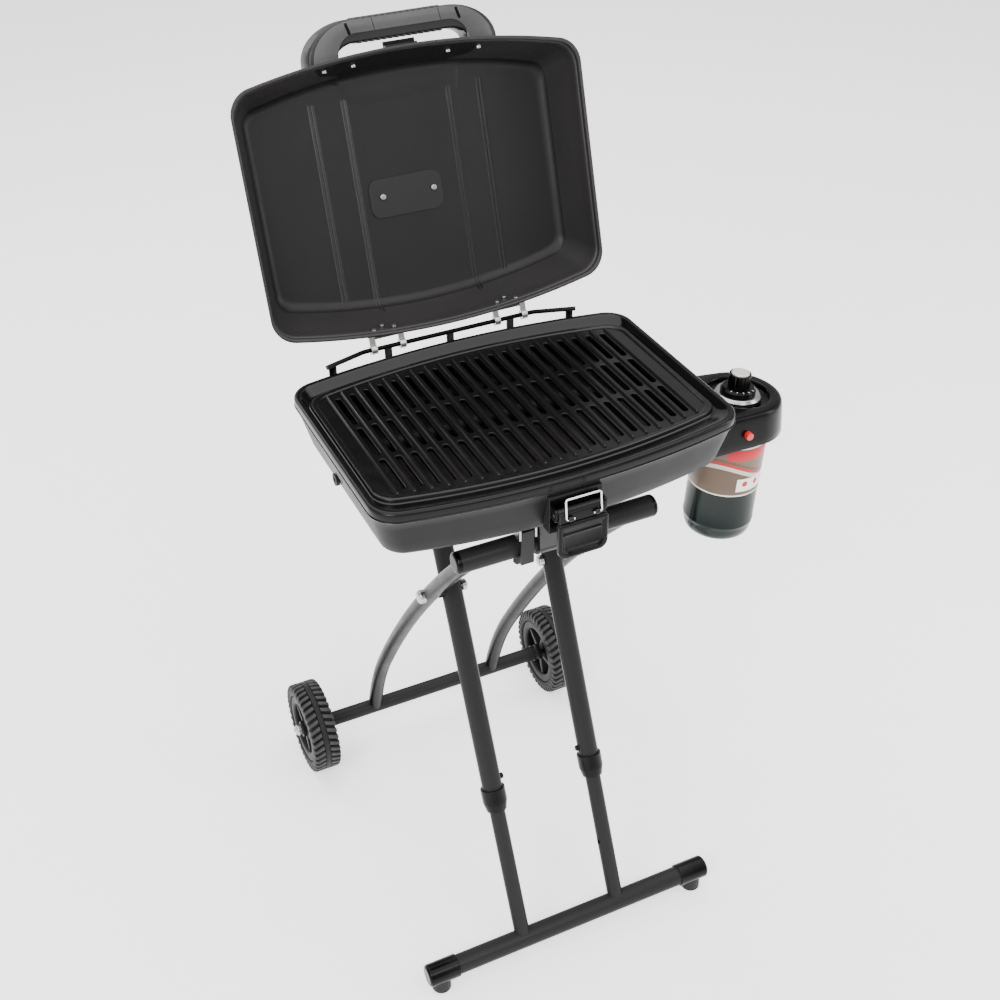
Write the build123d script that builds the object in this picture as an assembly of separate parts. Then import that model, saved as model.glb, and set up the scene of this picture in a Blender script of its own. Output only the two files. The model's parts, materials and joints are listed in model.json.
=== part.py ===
"""Folding camp grill: a gas grill pan on a wheeled folding stand, modelled piece by piece.

All lengths are in millimetres. While it is modelled, x = 0 is the middle of the grill, y = 0 is
the bolt where the legs cross, z = 0 is the ground, and -Y is the front. At the end everything
moves together so that the origin is the middle of the bounding box's base.
"""

from build123d import *
import os
from math import acos, atan2, cos, degrees, hypot, pi, radians, sin

# --- Driving dimensions -------------------------------------------------------------------

# stand
PIVOT_Z = 524.0            # height of the bolt where the two leg frames cross
FOOT_Y = -214.0            # foot bar, in front
FOOT_Z = 33.5
FOOT_HALF = 226.0
BAR_Y = -159.0             # cross bar that carries the front of the pan
BAR_Z = 696.0
BAR_HALF = 133.0
AXLE_Y = 288.0             # wheel axle, behind
AXLE_Z = 74.5
UPPER_R = 14.3             # straight upper legs, foot bar and cross bar, 1 1/8 inch tube
LOWER_R = 11.1             # telescopic lower legs and arched legs, 7/8 inch tube
AXLE_TUBE_R = 12.0
LEG_A_X = 76.0             # straight legs, left and right of the middle
LEG_B_X = 107.0            # arched legs
TOP_TUBE_Z = 721.0         # cross tube at the top of the straight legs
COLLAR_AT = 227.0          # collar, measured along the leg from the foot bar
BUTTON_AT = COLLAR_AT + 24
TELESCOPE = 150.0          # travel of the lower legs
BOLT_R = 4.0
RUN = 0.05                 # radial clearance of a running fit

# wheels
WHEEL_R = 74.5
WHEEL_X = 215.5
WHEEL_W = 43.0
HUB_R = 55.0
AXLE_R = 4.0

# pan
PAN_HALF = 235.0           # half width at the rim
PAN_FRONT = -187.0         # corner lines; the front and back edges bow out beyond them
PAN_BACK = 113.0
BOW_FRONT = 28.0
BOW_BACK = 26.0
CORNER_R = 34.0
PAN_BASE_Z = 742.0
LATCH_X = -6.0
BAND_Z = 802.0             # underside of the rim band
RIM_Z = 816.0
PAN_TAPER = 14.0
GRATE_INSET = 13.0         # from the rim to the grate at the sides
GRATE_FRONT = 17.0         # and how much further in its front and back edges stand
GRATE_REAR = 9.0
SHEET = 2.0

# lid
HINGE_Y = 151.0
HINGE_Z = 822.0
LID_Z = 817.0
LID_DEPTH = 70.0
LID_TAPER = 26.0
LID_OPEN = 106.7           # angle from closed to fully open
BRACKET_X = 88.0
LEG_GAP = 20.0
RAIL_R = 3.0

# gas side
GAS_X = 300.0
GAS_Y = -85.0
GAS_BASE_Z = 570.0         # underside of the cylinder
GAS_R = 47.0
CAN_WALL = 1.5
DECK_Z = 775.0             # top of the regulator's arm
GAS_LEAN = 4.5             # the arm, regulator and cylinder lean, the cylinder's foot towards the pan
SHROUD_R = 63.0
SKIRT = 45.0               # height of the arm's side
BURNER_Z = 756.0
WALL_PORT_Z = 759.0        # grommet in the left wall
WALL_PORT_Y = -19.0
BUTTON_X = GAS_X - 22      # igniter button
BUTTON_Z = DECK_Z - 25

FRONT = PAN_FRONT - BOW_FRONT
NODES = {}


def keep(name, shape):
    """Stores a finished piece under its node name."""
    NODES[name] = shape
    return shape


# --- Helpers ---------------------------------------------------------------------------------

def rod(start, end, radius):
    start = Vector(*start)
    span = Vector(*end) - start
    return extrude(Plane(origin=start, z_dir=span) * Circle(radius), amount=span.length)


def tube(start, end, outer, inner):
    start = Vector(*start)
    span = Vector(*end) - start
    ring = Circle(outer) - Circle(inner)
    return extrude(Plane(origin=start, z_dir=span) * ring, amount=span.length)


def block(x, y, z):
    """Box from three (low, high) pairs."""
    size = [pair[1] - pair[0] for pair in (x, y, z)]
    middle = [(pair[1] + pair[0]) / 2 for pair in (x, y, z)]
    return Pos(*middle) * Box(*size)


def group(solids):
    """Several separate solids kept in one node."""
    found = []
    for item in solids:
        found.extend(item.solids())
    return Compound(children=found) if len(found) > 1 else found[0]


def outline(inset, z, more_front=0.0, more_back=0.0):
    """Face of the pan's plan outline at a height, inset all round and further at the front and back."""
    half = PAN_HALF - inset
    front = PAN_FRONT + inset + more_front
    back = PAN_BACK - inset - more_back
    with BuildSketch(Plane.XY.offset(z)) as sketch:
        with BuildLine():
            Line((-half, back), (-half, front))
            ThreePointArc((-half, front), (0, front - BOW_FRONT), (half, front))
            Line((half, front), (half, back))
            ThreePointArc((half, back), (0, back + BOW_BACK), (-half, back))
        make_face()
        fillet(sketch.vertices(), radius=CORNER_R - 0.4 * inset)
    return sketch.sketch


def skirt(inset_low, z_low, inset_high, z_high):
    """Solid between two outlines at two heights."""
    return loft([outline(inset_low, z_low).face(), outline(inset_high, z_high).face()])


def back_edge(x, inset=0.0):
    """y of the pan's back edge at x, from the bow's arc."""
    half = PAN_HALF - inset
    return PAN_BACK - inset + BOW_BACK * (1 - (x / half) ** 2)


def mirrored(name, shape):
    """Keeps a right-hand piece and its mirror image as two nodes."""
    keep(name + "_right", shape)
    keep(name + "_left", shape.mirror(Plane.YZ))


def paired(name, shape):
    """Keeps a right-hand piece and its mirror image as two solids of one node."""
    keep(name, group([shape, shape.mirror(Plane.YZ)]))


def leg_point(distance, x=0.0):
    """Point on a straight leg's line, measured from the foot bar."""
    return (x, FOOT_Y + distance * LEG_DIR[0], FOOT_Z + distance * LEG_DIR[1])


LEG_LENGTH = hypot(-FOOT_Y, PIVOT_Z - FOOT_Z)
LEG_DIR = (-FOOT_Y / LEG_LENGTH, (PIVOT_Z - FOOT_Z) / LEG_LENGTH)
TOP_AT = LEG_LENGTH + (TOP_TUBE_Z - PIVOT_Z) / LEG_DIR[1]
TOP_Y = leg_point(TOP_AT)[1]


# --- Straight leg frame ----------------------------------------------------------------------

def straight_legs():
    top_tube = tube((-98, TOP_Y, TOP_TUBE_Z), (98, TOP_Y, TOP_TUBE_Z), LOWER_R, LOWER_R - 1.5)
    keep("top_cross_tube", top_tube)
    cutter = rod((-100, TOP_Y, TOP_TUBE_Z), (100, TOP_Y, TOP_TUBE_Z), LOWER_R)
    leg = tube(leg_point(COLLAR_AT + 6, LEG_A_X), leg_point(TOP_AT, LEG_A_X), UPPER_R, UPPER_R - 1.5)
    bolt_hole = rod((LEG_A_X - 30, 0, PIVOT_Z), (LEG_A_X + 30, 0, PIVOT_Z), BOLT_R + RUN)
    button_hole = rod(leg_point(BUTTON_AT, LEG_A_X - 20), leg_point(BUTTON_AT, LEG_A_X), 4.6)
    paired("upper_legs", leg - cutter - bolt_hole - button_hole)

    start = leg_point(COLLAR_AT - 22, LEG_A_X)
    neck = leg_point(COLLAR_AT - 8, LEG_A_X)
    lip = leg_point(COLLAR_AT + 12, LEG_A_X)
    axis = Plane(origin=start, z_dir=Vector(0, *LEG_DIR))
    cone = loft([(axis * Circle(UPPER_R)).face(), (axis.offset(14) * Circle(UPPER_R + 3.2)).face()])
    sleeve = cone + rod(neck, lip, UPPER_R + 3.2)
    sleeve -= rod(start, lip, LOWER_R + 0.3)
    sleeve -= rod(leg_point(COLLAR_AT + 6, LEG_A_X), leg_point(COLLAR_AT + 40, LEG_A_X), UPPER_R)
    paired("leg_collars", sleeve)

    saddle = rod(leg_point(LEG_LENGTH - 30, LEG_A_X), leg_point(LEG_LENGTH + 30, LEG_A_X), UPPER_R)
    seat = rod((LEG_A_X + 4, 0, PIVOT_Z), (LEG_B_X - LOWER_R - 0.3, 0, PIVOT_Z), 9)
    seat -= saddle
    seat -= rod((LEG_A_X, 0, PIVOT_Z), (LEG_B_X, 0, PIVOT_Z), BOLT_R + RUN)
    paired("pivot_spacers", seat)


def lower_legs():
    reach = COLLAR_AT + 90
    leg = tube(leg_point(0, LEG_A_X), leg_point(reach, LEG_A_X), LOWER_R, LOWER_R - 1.5)
    leg -= rod((-FOOT_HALF, FOOT_Y, FOOT_Z), (FOOT_HALF, FOOT_Y, FOOT_Z), UPPER_R)
    for at in (BUTTON_AT, BUTTON_AT - TELESCOPE):
        leg -= rod(leg_point(at, LEG_A_X - 20), leg_point(at, LEG_A_X), 4.6)
    paired("lower_legs", leg)
    bar_end = FOOT_HALF - 3
    left_end = (-bar_end, FOOT_Y, FOOT_Z)
    right_end = (bar_end, FOOT_Y, FOOT_Z)
    keep("foot_bar", tube(left_end, right_end, UPPER_R, UPPER_R - 1.8))
    cap = rod((FOOT_HALF - 46, FOOT_Y, FOOT_Z), (FOOT_HALF, FOOT_Y, FOOT_Z), UPPER_R + 2.0)
    cap = fillet(cap.edges().group_by(Axis.X)[-1], 5)
    cap -= rod((FOOT_HALF - 50, FOOT_Y, FOOT_Z), (FOOT_HALF - 3, FOOT_Y, FOOT_Z), UPPER_R)
    paired("foot_caps", cap)
    pad = rod((FOOT_HALF - 21, FOOT_Y, 0), (FOOT_HALF - 21, FOOT_Y, FOOT_Z), 13.5)
    pad = chamfer(pad.edges().group_by(Axis.Z)[0], 1.5)
    pad -= rod((-FOOT_HALF, FOOT_Y, FOOT_Z), (FOOT_HALF, FOOT_Y, FOOT_Z), UPPER_R + 2.0)
    paired("foot_pads", pad.solids().sort_by(Axis.Z)[0])


def snap_buttons():
    """Domed button on the inner face of each upper leg, just above the collar."""
    tip = leg_point(BUTTON_AT, LEG_A_X - UPPER_R - 4.5)
    root = leg_point(BUTTON_AT, LEG_A_X - LOWER_R - 0.4)
    button = rod(tip, root, 4.2)
    button = fillet(button.edges().group_by(Axis.X)[0], 2.0)
    mirrored("snap_button", button)


# --- Arched leg frame, axle and wheels --------------------------------------------------------

def arched_path(x):
    """Gentle arc from the cross bar through the pivot, then a tighter arc down to the axle."""
    plane = Plane(origin=(x, 0, 0), x_dir=(0, 1, 0), z_dir=(1, 0, 0))
    knee = (214.0, 235.0)
    with BuildLine(plane) as path:
        upper = ThreePointArc((BAR_Y, BAR_Z), (0, PIVOT_Z), knee)
        TangentArc(knee, (AXLE_Y, AXLE_Z), tangent=upper % 1)
    return path.line


def arched_legs():
    path = arched_path(LEG_B_X)
    section = Plane(origin=path @ 0, z_dir=path % 0) * (Circle(LOWER_R) - Circle(LOWER_R - 1.5))
    leg = sweep(section, path=path)
    bar_cut = rod((-BAR_HALF, BAR_Y, BAR_Z), (BAR_HALF, BAR_Y, BAR_Z), UPPER_R)
    axle_cut = rod((-190, AXLE_Y, AXLE_Z), (190, AXLE_Y, AXLE_Z), AXLE_TUBE_R)
    bolt_cut = rod((LEG_B_X - 30, 0, PIVOT_Z), (LEG_B_X + 30, 0, PIVOT_Z), BOLT_R)
    paired("arched_legs", leg - bar_cut - axle_cut - bolt_cut)

    bar = tube((-BAR_HALF + 4, BAR_Y, BAR_Z), (BAR_HALF - 4, BAR_Y, BAR_Z), UPPER_R, UPPER_R - 1.8)
    keep("cross_bar", bar)
    cap = rod((BAR_HALF - 4, BAR_Y, BAR_Z), (BAR_HALF + 3, BAR_Y, BAR_Z), UPPER_R)
    cap = fillet(cap.edges().group_by(Axis.X)[-1], 5)
    cap += rod((BAR_HALF - 20, BAR_Y, BAR_Z), (BAR_HALF - 4, BAR_Y, BAR_Z), UPPER_R - 1.8)
    paired("bar_caps", cap)

    inner_end = WHEEL_X - WHEEL_W / 2
    tube_end = inner_end - 8
    left_end = (-tube_end, AXLE_Y, AXLE_Z)
    right_end = (tube_end, AXLE_Y, AXLE_Z)
    keep("axle_tube", tube(left_end, right_end, AXLE_TUBE_R, AXLE_TUBE_R - 1.8))
    plug = rod((inner_end - 8, AXLE_Y, AXLE_Z), (inner_end - 3, AXLE_Y, AXLE_Z), AXLE_TUBE_R + 1.5)
    plug += rod((inner_end - 30, AXLE_Y, AXLE_Z), (inner_end - 8, AXLE_Y, AXLE_Z), AXLE_TUBE_R - 1.8)
    plug -= rod((inner_end - 40, AXLE_Y, AXLE_Z), (inner_end + 10, AXLE_Y, AXLE_Z), AXLE_R)
    paired("axle_plugs", plug)
    outer_end = WHEEL_X + WHEEL_W / 2
    keep("axle_rod", rod((-outer_end - 6, AXLE_Y, AXLE_Z), (outer_end + 6, AXLE_Y, AXLE_Z), AXLE_R))
    nut = rod((outer_end + 0.6, AXLE_Y, AXLE_Z), (outer_end + 9, AXLE_Y, AXLE_Z), 9)
    nut = fillet(nut.edges().group_by(Axis.X)[-1], 4)
    nut -= rod((outer_end - 6, AXLE_Y, AXLE_Z), (outer_end + 6, AXLE_Y, AXLE_Z), AXLE_R)

    head_x = LEG_B_X + LOWER_R
    bolt = rod((LEG_A_X - UPPER_R - 5, 0, PIVOT_Z), (head_x + 1, 0, PIVOT_Z), BOLT_R)
    head = rod((head_x - 2.2, 0, PIVOT_Z), (head_x + 7, 0, PIVOT_Z), 9.5)
    head = fillet(head.edges().group_by(Axis.X)[-1], 4)
    leg_solid = sweep(Plane(origin=path @ 0, z_dir=path % 0) * Circle(LOWER_R), path=path)
    head = (head - leg_solid).solids().sort_by(Axis.X)[-1]
    paired("pivot_bolts", bolt + head)
    nut_x = LEG_A_X - UPPER_R
    cap_nut = rod((nut_x - 8, 0, PIVOT_Z), (nut_x - 0.4, 0, PIVOT_Z), 8)
    cap_nut = fillet(cap_nut.edges().group_by(Axis.X)[0], 4)
    cap_nut -= rod((nut_x - 5, 0, PIVOT_Z), (nut_x + 5, 0, PIVOT_Z), BOLT_R)
    nuts = [nut, cap_nut, nut.mirror(Plane.YZ), cap_nut.mirror(Plane.YZ)]
    keep("cap_nuts", group(nuts))


def wheels():
    """Moulded tyre with grooves round its tread, and a spoked hub."""
    low = WHEEL_X - WHEEL_W / 2
    high = WHEEL_X + WHEEL_W / 2
    tyre = rod((low, AXLE_Y, AXLE_Z), (high, AXLE_Y, AXLE_Z), WHEEL_R)
    tyre -= rod((low - 1, AXLE_Y, AXLE_Z), (high + 1, AXLE_Y, AXLE_Z), HUB_R)
    rim_edges = tyre.edges().filter_by(GeomType.CIRCLE).filter_by(lambda e: e.radius > WHEEL_R - 1)
    tyre = fillet(rim_edges, 5)
    for offset in (-8, 0, 8):
        groove_low = (WHEEL_X + offset - 1.5, AXLE_Y, AXLE_Z)
        groove_high = (WHEEL_X + offset + 1.5, AXLE_Y, AXLE_Z)
        tyre -= tube(groove_low, groove_high, WHEEL_R + 2, WHEEL_R - 3)
    hub = rod((low + 5, AXLE_Y, AXLE_Z), (high - 5, AXLE_Y, AXLE_Z), HUB_R)
    hub -= rod((low + 4, AXLE_Y, AXLE_Z), (WHEEL_X - 3, AXLE_Y, AXLE_Z), HUB_R - 6)
    hub -= rod((WHEEL_X + 3, AXLE_Y, AXLE_Z), (high - 4, AXLE_Y, AXLE_Z), HUB_R - 6)
    hub += rod((low - 0.5, AXLE_Y, AXLE_Z), (high, AXLE_Y, AXLE_Z), 15)
    spokes = 5
    for index in range(spokes):
        turn = Rot(360 / spokes * index, 0, 0)
        window = turn * Pos(0, 33, 0) * Rot(0, 90, 0) * Cylinder(9.5, WHEEL_W)
        hub -= Pos(WHEEL_X, AXLE_Y, AXLE_Z) * window
        angle = radians(360 / spokes * (index + 0.5))
        rib = Rot(degrees(angle), 0, 0) * Pos(0, 32, 0) * Box(WHEEL_W - 14, 36, 5)
        hub += Pos(WHEEL_X, AXLE_Y, AXLE_Z) * rib
    hub -= rod((low - 2, AXLE_Y, AXLE_Z), (high + 2, AXLE_Y, AXLE_Z), AXLE_R + RUN)
    mirrored("wheel_tyre", tyre)
    mirrored("wheel_hub", hub)


# --- Grill pan ---------------------------------------------------------------------------------

def pan_solid(inset):
    """The pan's outside, or its inside when inset by the sheet, with a rounded base edge."""
    base = PAN_BASE_Z + inset
    slope = PAN_TAPER / (BAND_Z - PAN_BASE_Z)
    steps = [(PAN_TAPER + 8, 0), (PAN_TAPER + 2.2, 2.2), (PAN_TAPER - 8 * slope, 8)]
    solid = skirt(steps[-1][0] + inset, base + 8, inset, BAND_Z + inset / 100)
    for low, high in zip(steps, steps[1:]):
        solid += skirt(low[0] + inset, base + low[1], high[0] + inset, base + high[1])
    return solid


def pan_shell():
    outer = pan_solid(0)
    inner = pan_solid(SHEET)
    shell = outer - inner
    gas_port = rod((PAN_HALF - 40, GAS_Y, BURNER_Z), (PAN_HALF + 20, GAS_Y, BURNER_Z), 8.5)
    wall_x = -PAN_HALF + (BAND_Z - WALL_PORT_Z) / (BAND_Z - PAN_BASE_Z) * PAN_TAPER
    outside = (wall_x - 3.5, WALL_PORT_Y, WALL_PORT_Z)
    inside = (wall_x + 6, WALL_PORT_Y, WALL_PORT_Z)
    shell = shell - gas_port - rod(outside, inside, 5)
    keep("pan", shell)
    keep("pan_grommet", tube(outside, inside, 8.0, 3.0) - shell)

    band = skirt(-2, BAND_Z, -2, RIM_Z - 3) + skirt(-2, RIM_Z - 3, 0.5, RIM_Z)
    band -= skirt(5, BAND_Z - 1, 5, RIM_Z + 1)
    keep("rim_band", band)

    ledge = well(GRATE_INSET - 2, RIM_Z - 11, 5, RIM_Z - 4) + skirt(5, RIM_Z - 4, 5, RIM_Z - 1)
    ledge -= well(GRATE_INSET, RIM_Z - 9.5, 7, RIM_Z)
    ledge -= well(GRATE_INSET - 1, RIM_Z - 20, GRATE_INSET - 1, RIM_Z + 5)
    seat = well(GRATE_INSET - 2, RIM_Z - 16.5, GRATE_INSET - 2, RIM_Z - 14.5)
    seat += well(GRATE_INSET - 2, RIM_Z - 15, GRATE_INSET - 2, RIM_Z - 10.5)
    seat -= well(GRATE_INSET + 6, RIM_Z - 20, GRATE_INSET + 6, RIM_Z)
    seat -= well(GRATE_INSET - 1, RIM_Z - 14.5, GRATE_INSET - 1, RIM_Z)
    keep("inner_frame", ledge + seat)


def well(inset_low, z_low, inset_high, z_high):
    """Solid whose front and back walls stand further in than its sides, down to the grate's outline."""
    faces = []
    for inset, z in ((inset_low, z_low), (inset_high, z_high)):
        share = min(1, (inset - 5) / (GRATE_INSET - 6))
        share = max(0, share)
        faces.append(outline(inset, z, GRATE_FRONT * share, GRATE_REAR * share).face())
    return loft(faces)


def grate():
    """Cast grate: flat border and front-to-back bars, lifts out of the inner frame."""
    top = RIM_Z - 5
    bars_inset = GRATE_INSET + 9
    plate = well(GRATE_INSET, top - 9, GRATE_INSET, top)
    plate -= well(bars_inset, top - 20, bars_inset, top + 5)
    pitch = 19.6
    count = 10
    for index in range(-count, count + 1):
        x = index * pitch
        front_inset = bars_inset + GRATE_FRONT
        near = PAN_FRONT + front_inset - BOW_FRONT * (1 - (x / PAN_HALF) ** 2) - 3
        far = back_edge(x, bars_inset) - GRATE_REAR + 3
        bar = block((x - 4.2, x + 4.2), (near, far), (top - 8, top + 1.5))
        bar = chamfer(bar.edges().filter_by(Axis.Y).group_by(Axis.Z)[-1], 2.0)
        plate += bar
    for y in (-110, 40):
        reach = PAN_HALF - bars_inset + 3
        plate += block((-reach, reach), (y - 4, y + 4), (top - 12, top - 6))
    keep("grate", plate)


def burner():
    """Burner tube loop, its supports, the venturi from the regulator, and the tray below."""
    z = BURNER_Z
    path_x = 165
    y_front = -110
    y_back = 30
    with BuildLine(Plane.XY.offset(z)) as loop:
        FilletPolyline((-path_x, -42), (-path_x, y_front), (path_x, y_front), (path_x, y_back),
                       (-path_x, y_back), (-path_x, -41), radius=30)
    line = loop.line
    ring = sweep(Plane(origin=line @ 0, z_dir=line % 0) * (Circle(8) - Circle(6.8)), path=line)
    throat = rod((path_x - 2, GAS_Y, z), (path_x + 9, GAS_Y, z), 7)
    keep("burner_tube", ring - throat)
    keep("venturi_tube", tube((path_x + 9, GAS_Y, z), (GAS_X - 27, GAS_Y, z), 7.5, 6.0))
    tray_floor = PAN_BASE_Z + SHEET + 1
    feet = []
    for x in (-110, 110):
        for y in (y_front, y_back):
            post = block((x - 8, x + 8), (y - 1.5, y + 1.5), (tray_floor, z - 6))
            cradle = block((x - 8, x + 8), (y - 7, y + 7), (z - 8, z - 5))
            feet.append(post + cradle - rod((x - 20, y, z), (x + 20, y, z), 8.05))
    keep("burner_supports", group(feet))
    tray = skirt(PAN_TAPER + 14, PAN_BASE_Z + SHEET, PAN_TAPER + 12, tray_floor + 2)
    keep("drip_tray", tray - skirt(PAN_TAPER + 20, tray_floor, PAN_TAPER + 15, tray_floor + 3))


def back_rail():
    """Rod behind the rim. Its straight middle is also the lid's hinge pin."""
    bend = 122.0
    with BuildLine(Plane.XY.offset(HINGE_Z)) as route:
        FilletPolyline((-178, 134), (-bend, HINGE_Y), (bend, HINGE_Y), (178, 134), radius=24)
    line = route.line
    rail = sweep(Plane(origin=line @ 0, z_dir=line % 0) * Circle(RAIL_R), path=line)
    keep("back_rail", rail)
    tabs = []
    spots = ((0, HINGE_Y), (-BRACKET_X, HINGE_Y), (BRACKET_X, HINGE_Y), (-170, 136.6), (170, 136.6))
    for x, rail_y in spots:
        root = back_edge(x)
        strap = block((x - 5, x + 5), (root - 12, rail_y), (BAND_Z - 14, BAND_Z - 11.5))
        upright = block((x - 5, x + 5), (rail_y - 1.25, rail_y + 1.25), (BAND_Z - 14, HINGE_Z))
        tab = strap + upright
        tab -= skirt(PAN_TAPER, PAN_BASE_Z, 0, BAND_Z)
        tab = tab.solids().sort_by(Axis.Y)[-1]
        tab -= rail
        tabs.append(tab.solids().sort_by(Axis.Z)[0])
    keep("rail_tabs", group(tabs))


# --- Lid, built closed and then opened ----------------------------------------------------------

def opened(shape):
    hinge = Axis((0, HINGE_Y, HINGE_Z), (1, 0, 0))
    if isinstance(shape, Compound) and len(shape.solids()) > 1:
        return Compound(children=[item.rotate(hinge, -LID_OPEN) for item in shape.solids()])
    return shape.rotate(hinge, -LID_OPEN)


def lid_inner_face(inset):
    return skirt(SHEET + inset, LID_Z - 0.01, LID_TAPER + SHEET, LID_Z + LID_DEPTH - SHEET)


def lid():
    outer = skirt(0, LID_Z, LID_TAPER, LID_Z + LID_DEPTH)
    outer = fillet(outer.edges().group_by(Axis.Z)[-1], 14)
    inner = fillet(lid_inner_face(0).edges().group_by(Axis.Z)[-1], 12)
    shell = outer - inner
    ceiling = LID_Z + LID_DEPTH - SHEET
    for x in (-116, -71, 71, 116):
        rib = block((x - 2.2, x + 2.2), (FRONT + 48, back_edge(x) - 46), (ceiling - 1.6, ceiling + 0.5))
        shell += chamfer(rib.edges().filter_by(Axis.Y).group_by(Axis.Z)[0], 1.2)
    keep("lid_shell", opened(shell))

    plate_z = ceiling - 1.5
    plate_y = -27.5
    plate = block((-59, 43), (plate_y - 25.5, plate_y + 25.5), (plate_z, ceiling))
    plate = fillet(plate.edges().filter_by(Axis.Z), 14)
    keep("badge_plate", opened(plate))
    screws = []
    for x in (-41, 31):
        head = rod((x, plate_y - 2, plate_z - 2.5), (x, plate_y - 2, plate_z), 4)
        screws.append(fillet(head.edges().group_by(Axis.Z)[0], 1.5))
    hinge_brackets(outer, shell)
    across = (LATCH_X - 21, LATCH_X + 21)
    catch = block(across, (FRONT - 1.5, FRONT + 6), (LID_Z + 3, LID_Z + 14))
    catch += block(across, (FRONT - 6, FRONT + 2), (LID_Z + 12, LID_Z + 14))
    catch = catch - outer
    keep("lid_catch", opened(catch.solids().sort_by(Axis.Y)[0]))
    handle(outer, screws)


def hinge_brackets(lid_outer, shell):
    """Plates riveted behind the lid's back wall, each with two legs that end in eyes on the rail."""
    slope = degrees(atan2(LID_TAPER, LID_DEPTH))
    brackets = []
    rivets = []
    for middle in (-BRACKET_X, BRACKET_X):
        wall_y = back_edge(middle)
        tilt = Pos(middle, wall_y + 1.5, LID_Z + 2) * Rot(slope, 0, 0)
        bracket = tilt * Pos(0, 1.2, 14) * Box(48, 2.4, 24)
        for x in (middle - LEG_GAP, middle + LEG_GAP):
            bracket += block((x - 4, x + 4), (wall_y - 1, HINGE_Y - 4), (HINGE_Z - 1.5, HINGE_Z + 1.5))
            bracket += rod((x - 4, HINGE_Y, HINGE_Z), (x + 4, HINGE_Y, HINGE_Z), 6.5)
        bracket -= lid_outer
        bracket -= rod((middle - 60, HINGE_Y, HINGE_Z), (middle + 60, HINGE_Y, HINGE_Z), RAIL_R + RUN)
        brackets.append(bracket.solids().sort_by(SortBy.VOLUME)[-1])
        for dx, dz in ((-14, 10), (0, 18), (14, 10)):
            head = (tilt * Pos(dx, -5, dz) * Rot(90, 0, 0) * Cylinder(3, 6)) & lid_inner_face(0)
            rivets.append((head - shell).solids().sort_by(SortBy.VOLUME)[-1])
    keep("hinge_brackets", opened(group(brackets)))
    keep("hinge_rivets", opened(group(rivets)))


def handle(lid_outer, screws):
    """Carry handle on the lid's front wall: an arch with finger ridges and a face plate."""
    low = LID_Z + 10
    high = LID_Z + 48
    base_y = FRONT + 30
    nose_y = FRONT - 38
    hole_y = FRONT - 10

    def arch(half_base, half_nose, nose, radius, z):
        with BuildSketch(Plane.XY.offset(z)) as sketch:
            with BuildLine():
                FilletPolyline((-half_base, base_y), (-half_base, FRONT + 4), (-half_nose, nose),
                               (half_nose, nose), (half_base, FRONT + 4), (half_base, base_y), radius=radius)
                Line((half_base, base_y), (-half_base, base_y))
            make_face()
        return sketch.sketch

    body = extrude(arch(126, 92, nose_y, 20, low), amount=high - low)
    body = fillet(body.edges().group_by(Axis.Z)[0] + body.edges().group_by(Axis.Z)[-1], 3)
    window = extrude(arch(88, 68, hole_y, 10, low - 2), amount=high - low + 4)
    body -= window
    body -= lid_outer
    pieces = body.solids().sort_by(SortBy.VOLUME)
    body = pieces[-1]
    ridges = 13
    for index in range(ridges):
        x = (index - (ridges - 1) / 2) * 9.0
        body -= rod((x, nose_y - 1.4, low - 1), (x, nose_y - 1.4, high + 1), 2.8)
    keep("handle_casing", opened(body))

    face = extrude(arch(114, 84, nose_y + 5, 18, low - 2.5), amount=2.5)
    face -= extrude(arch(88, 66, nose_y + 20, 10, low - 4), amount=6)
    face -= skirt(-4, LID_Z - 20, -4, LID_Z + 60)
    keep("handle_face", opened(face.solids().sort_by(SortBy.VOLUME)[-1]))

    inner = lid_inner_face(0)
    for x, z in ((-104, 24), (-64, 30), (64, 30), (104, 24)):
        wall = PAN_FRONT - BOW_FRONT * (1 - (x / PAN_HALF) ** 2)
        depth = wall + z / LID_DEPTH * LID_TAPER
        screw = rod((x, depth + 1, LID_Z + z), (x, depth + 5.5, LID_Z + z), 3.5)
        screws.append((screw & inner).solids()[0])
    keep("lid_screws", opened(group(screws)))


# --- Latch, cross bar bracket and fold hook -----------------------------------------------------

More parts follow.
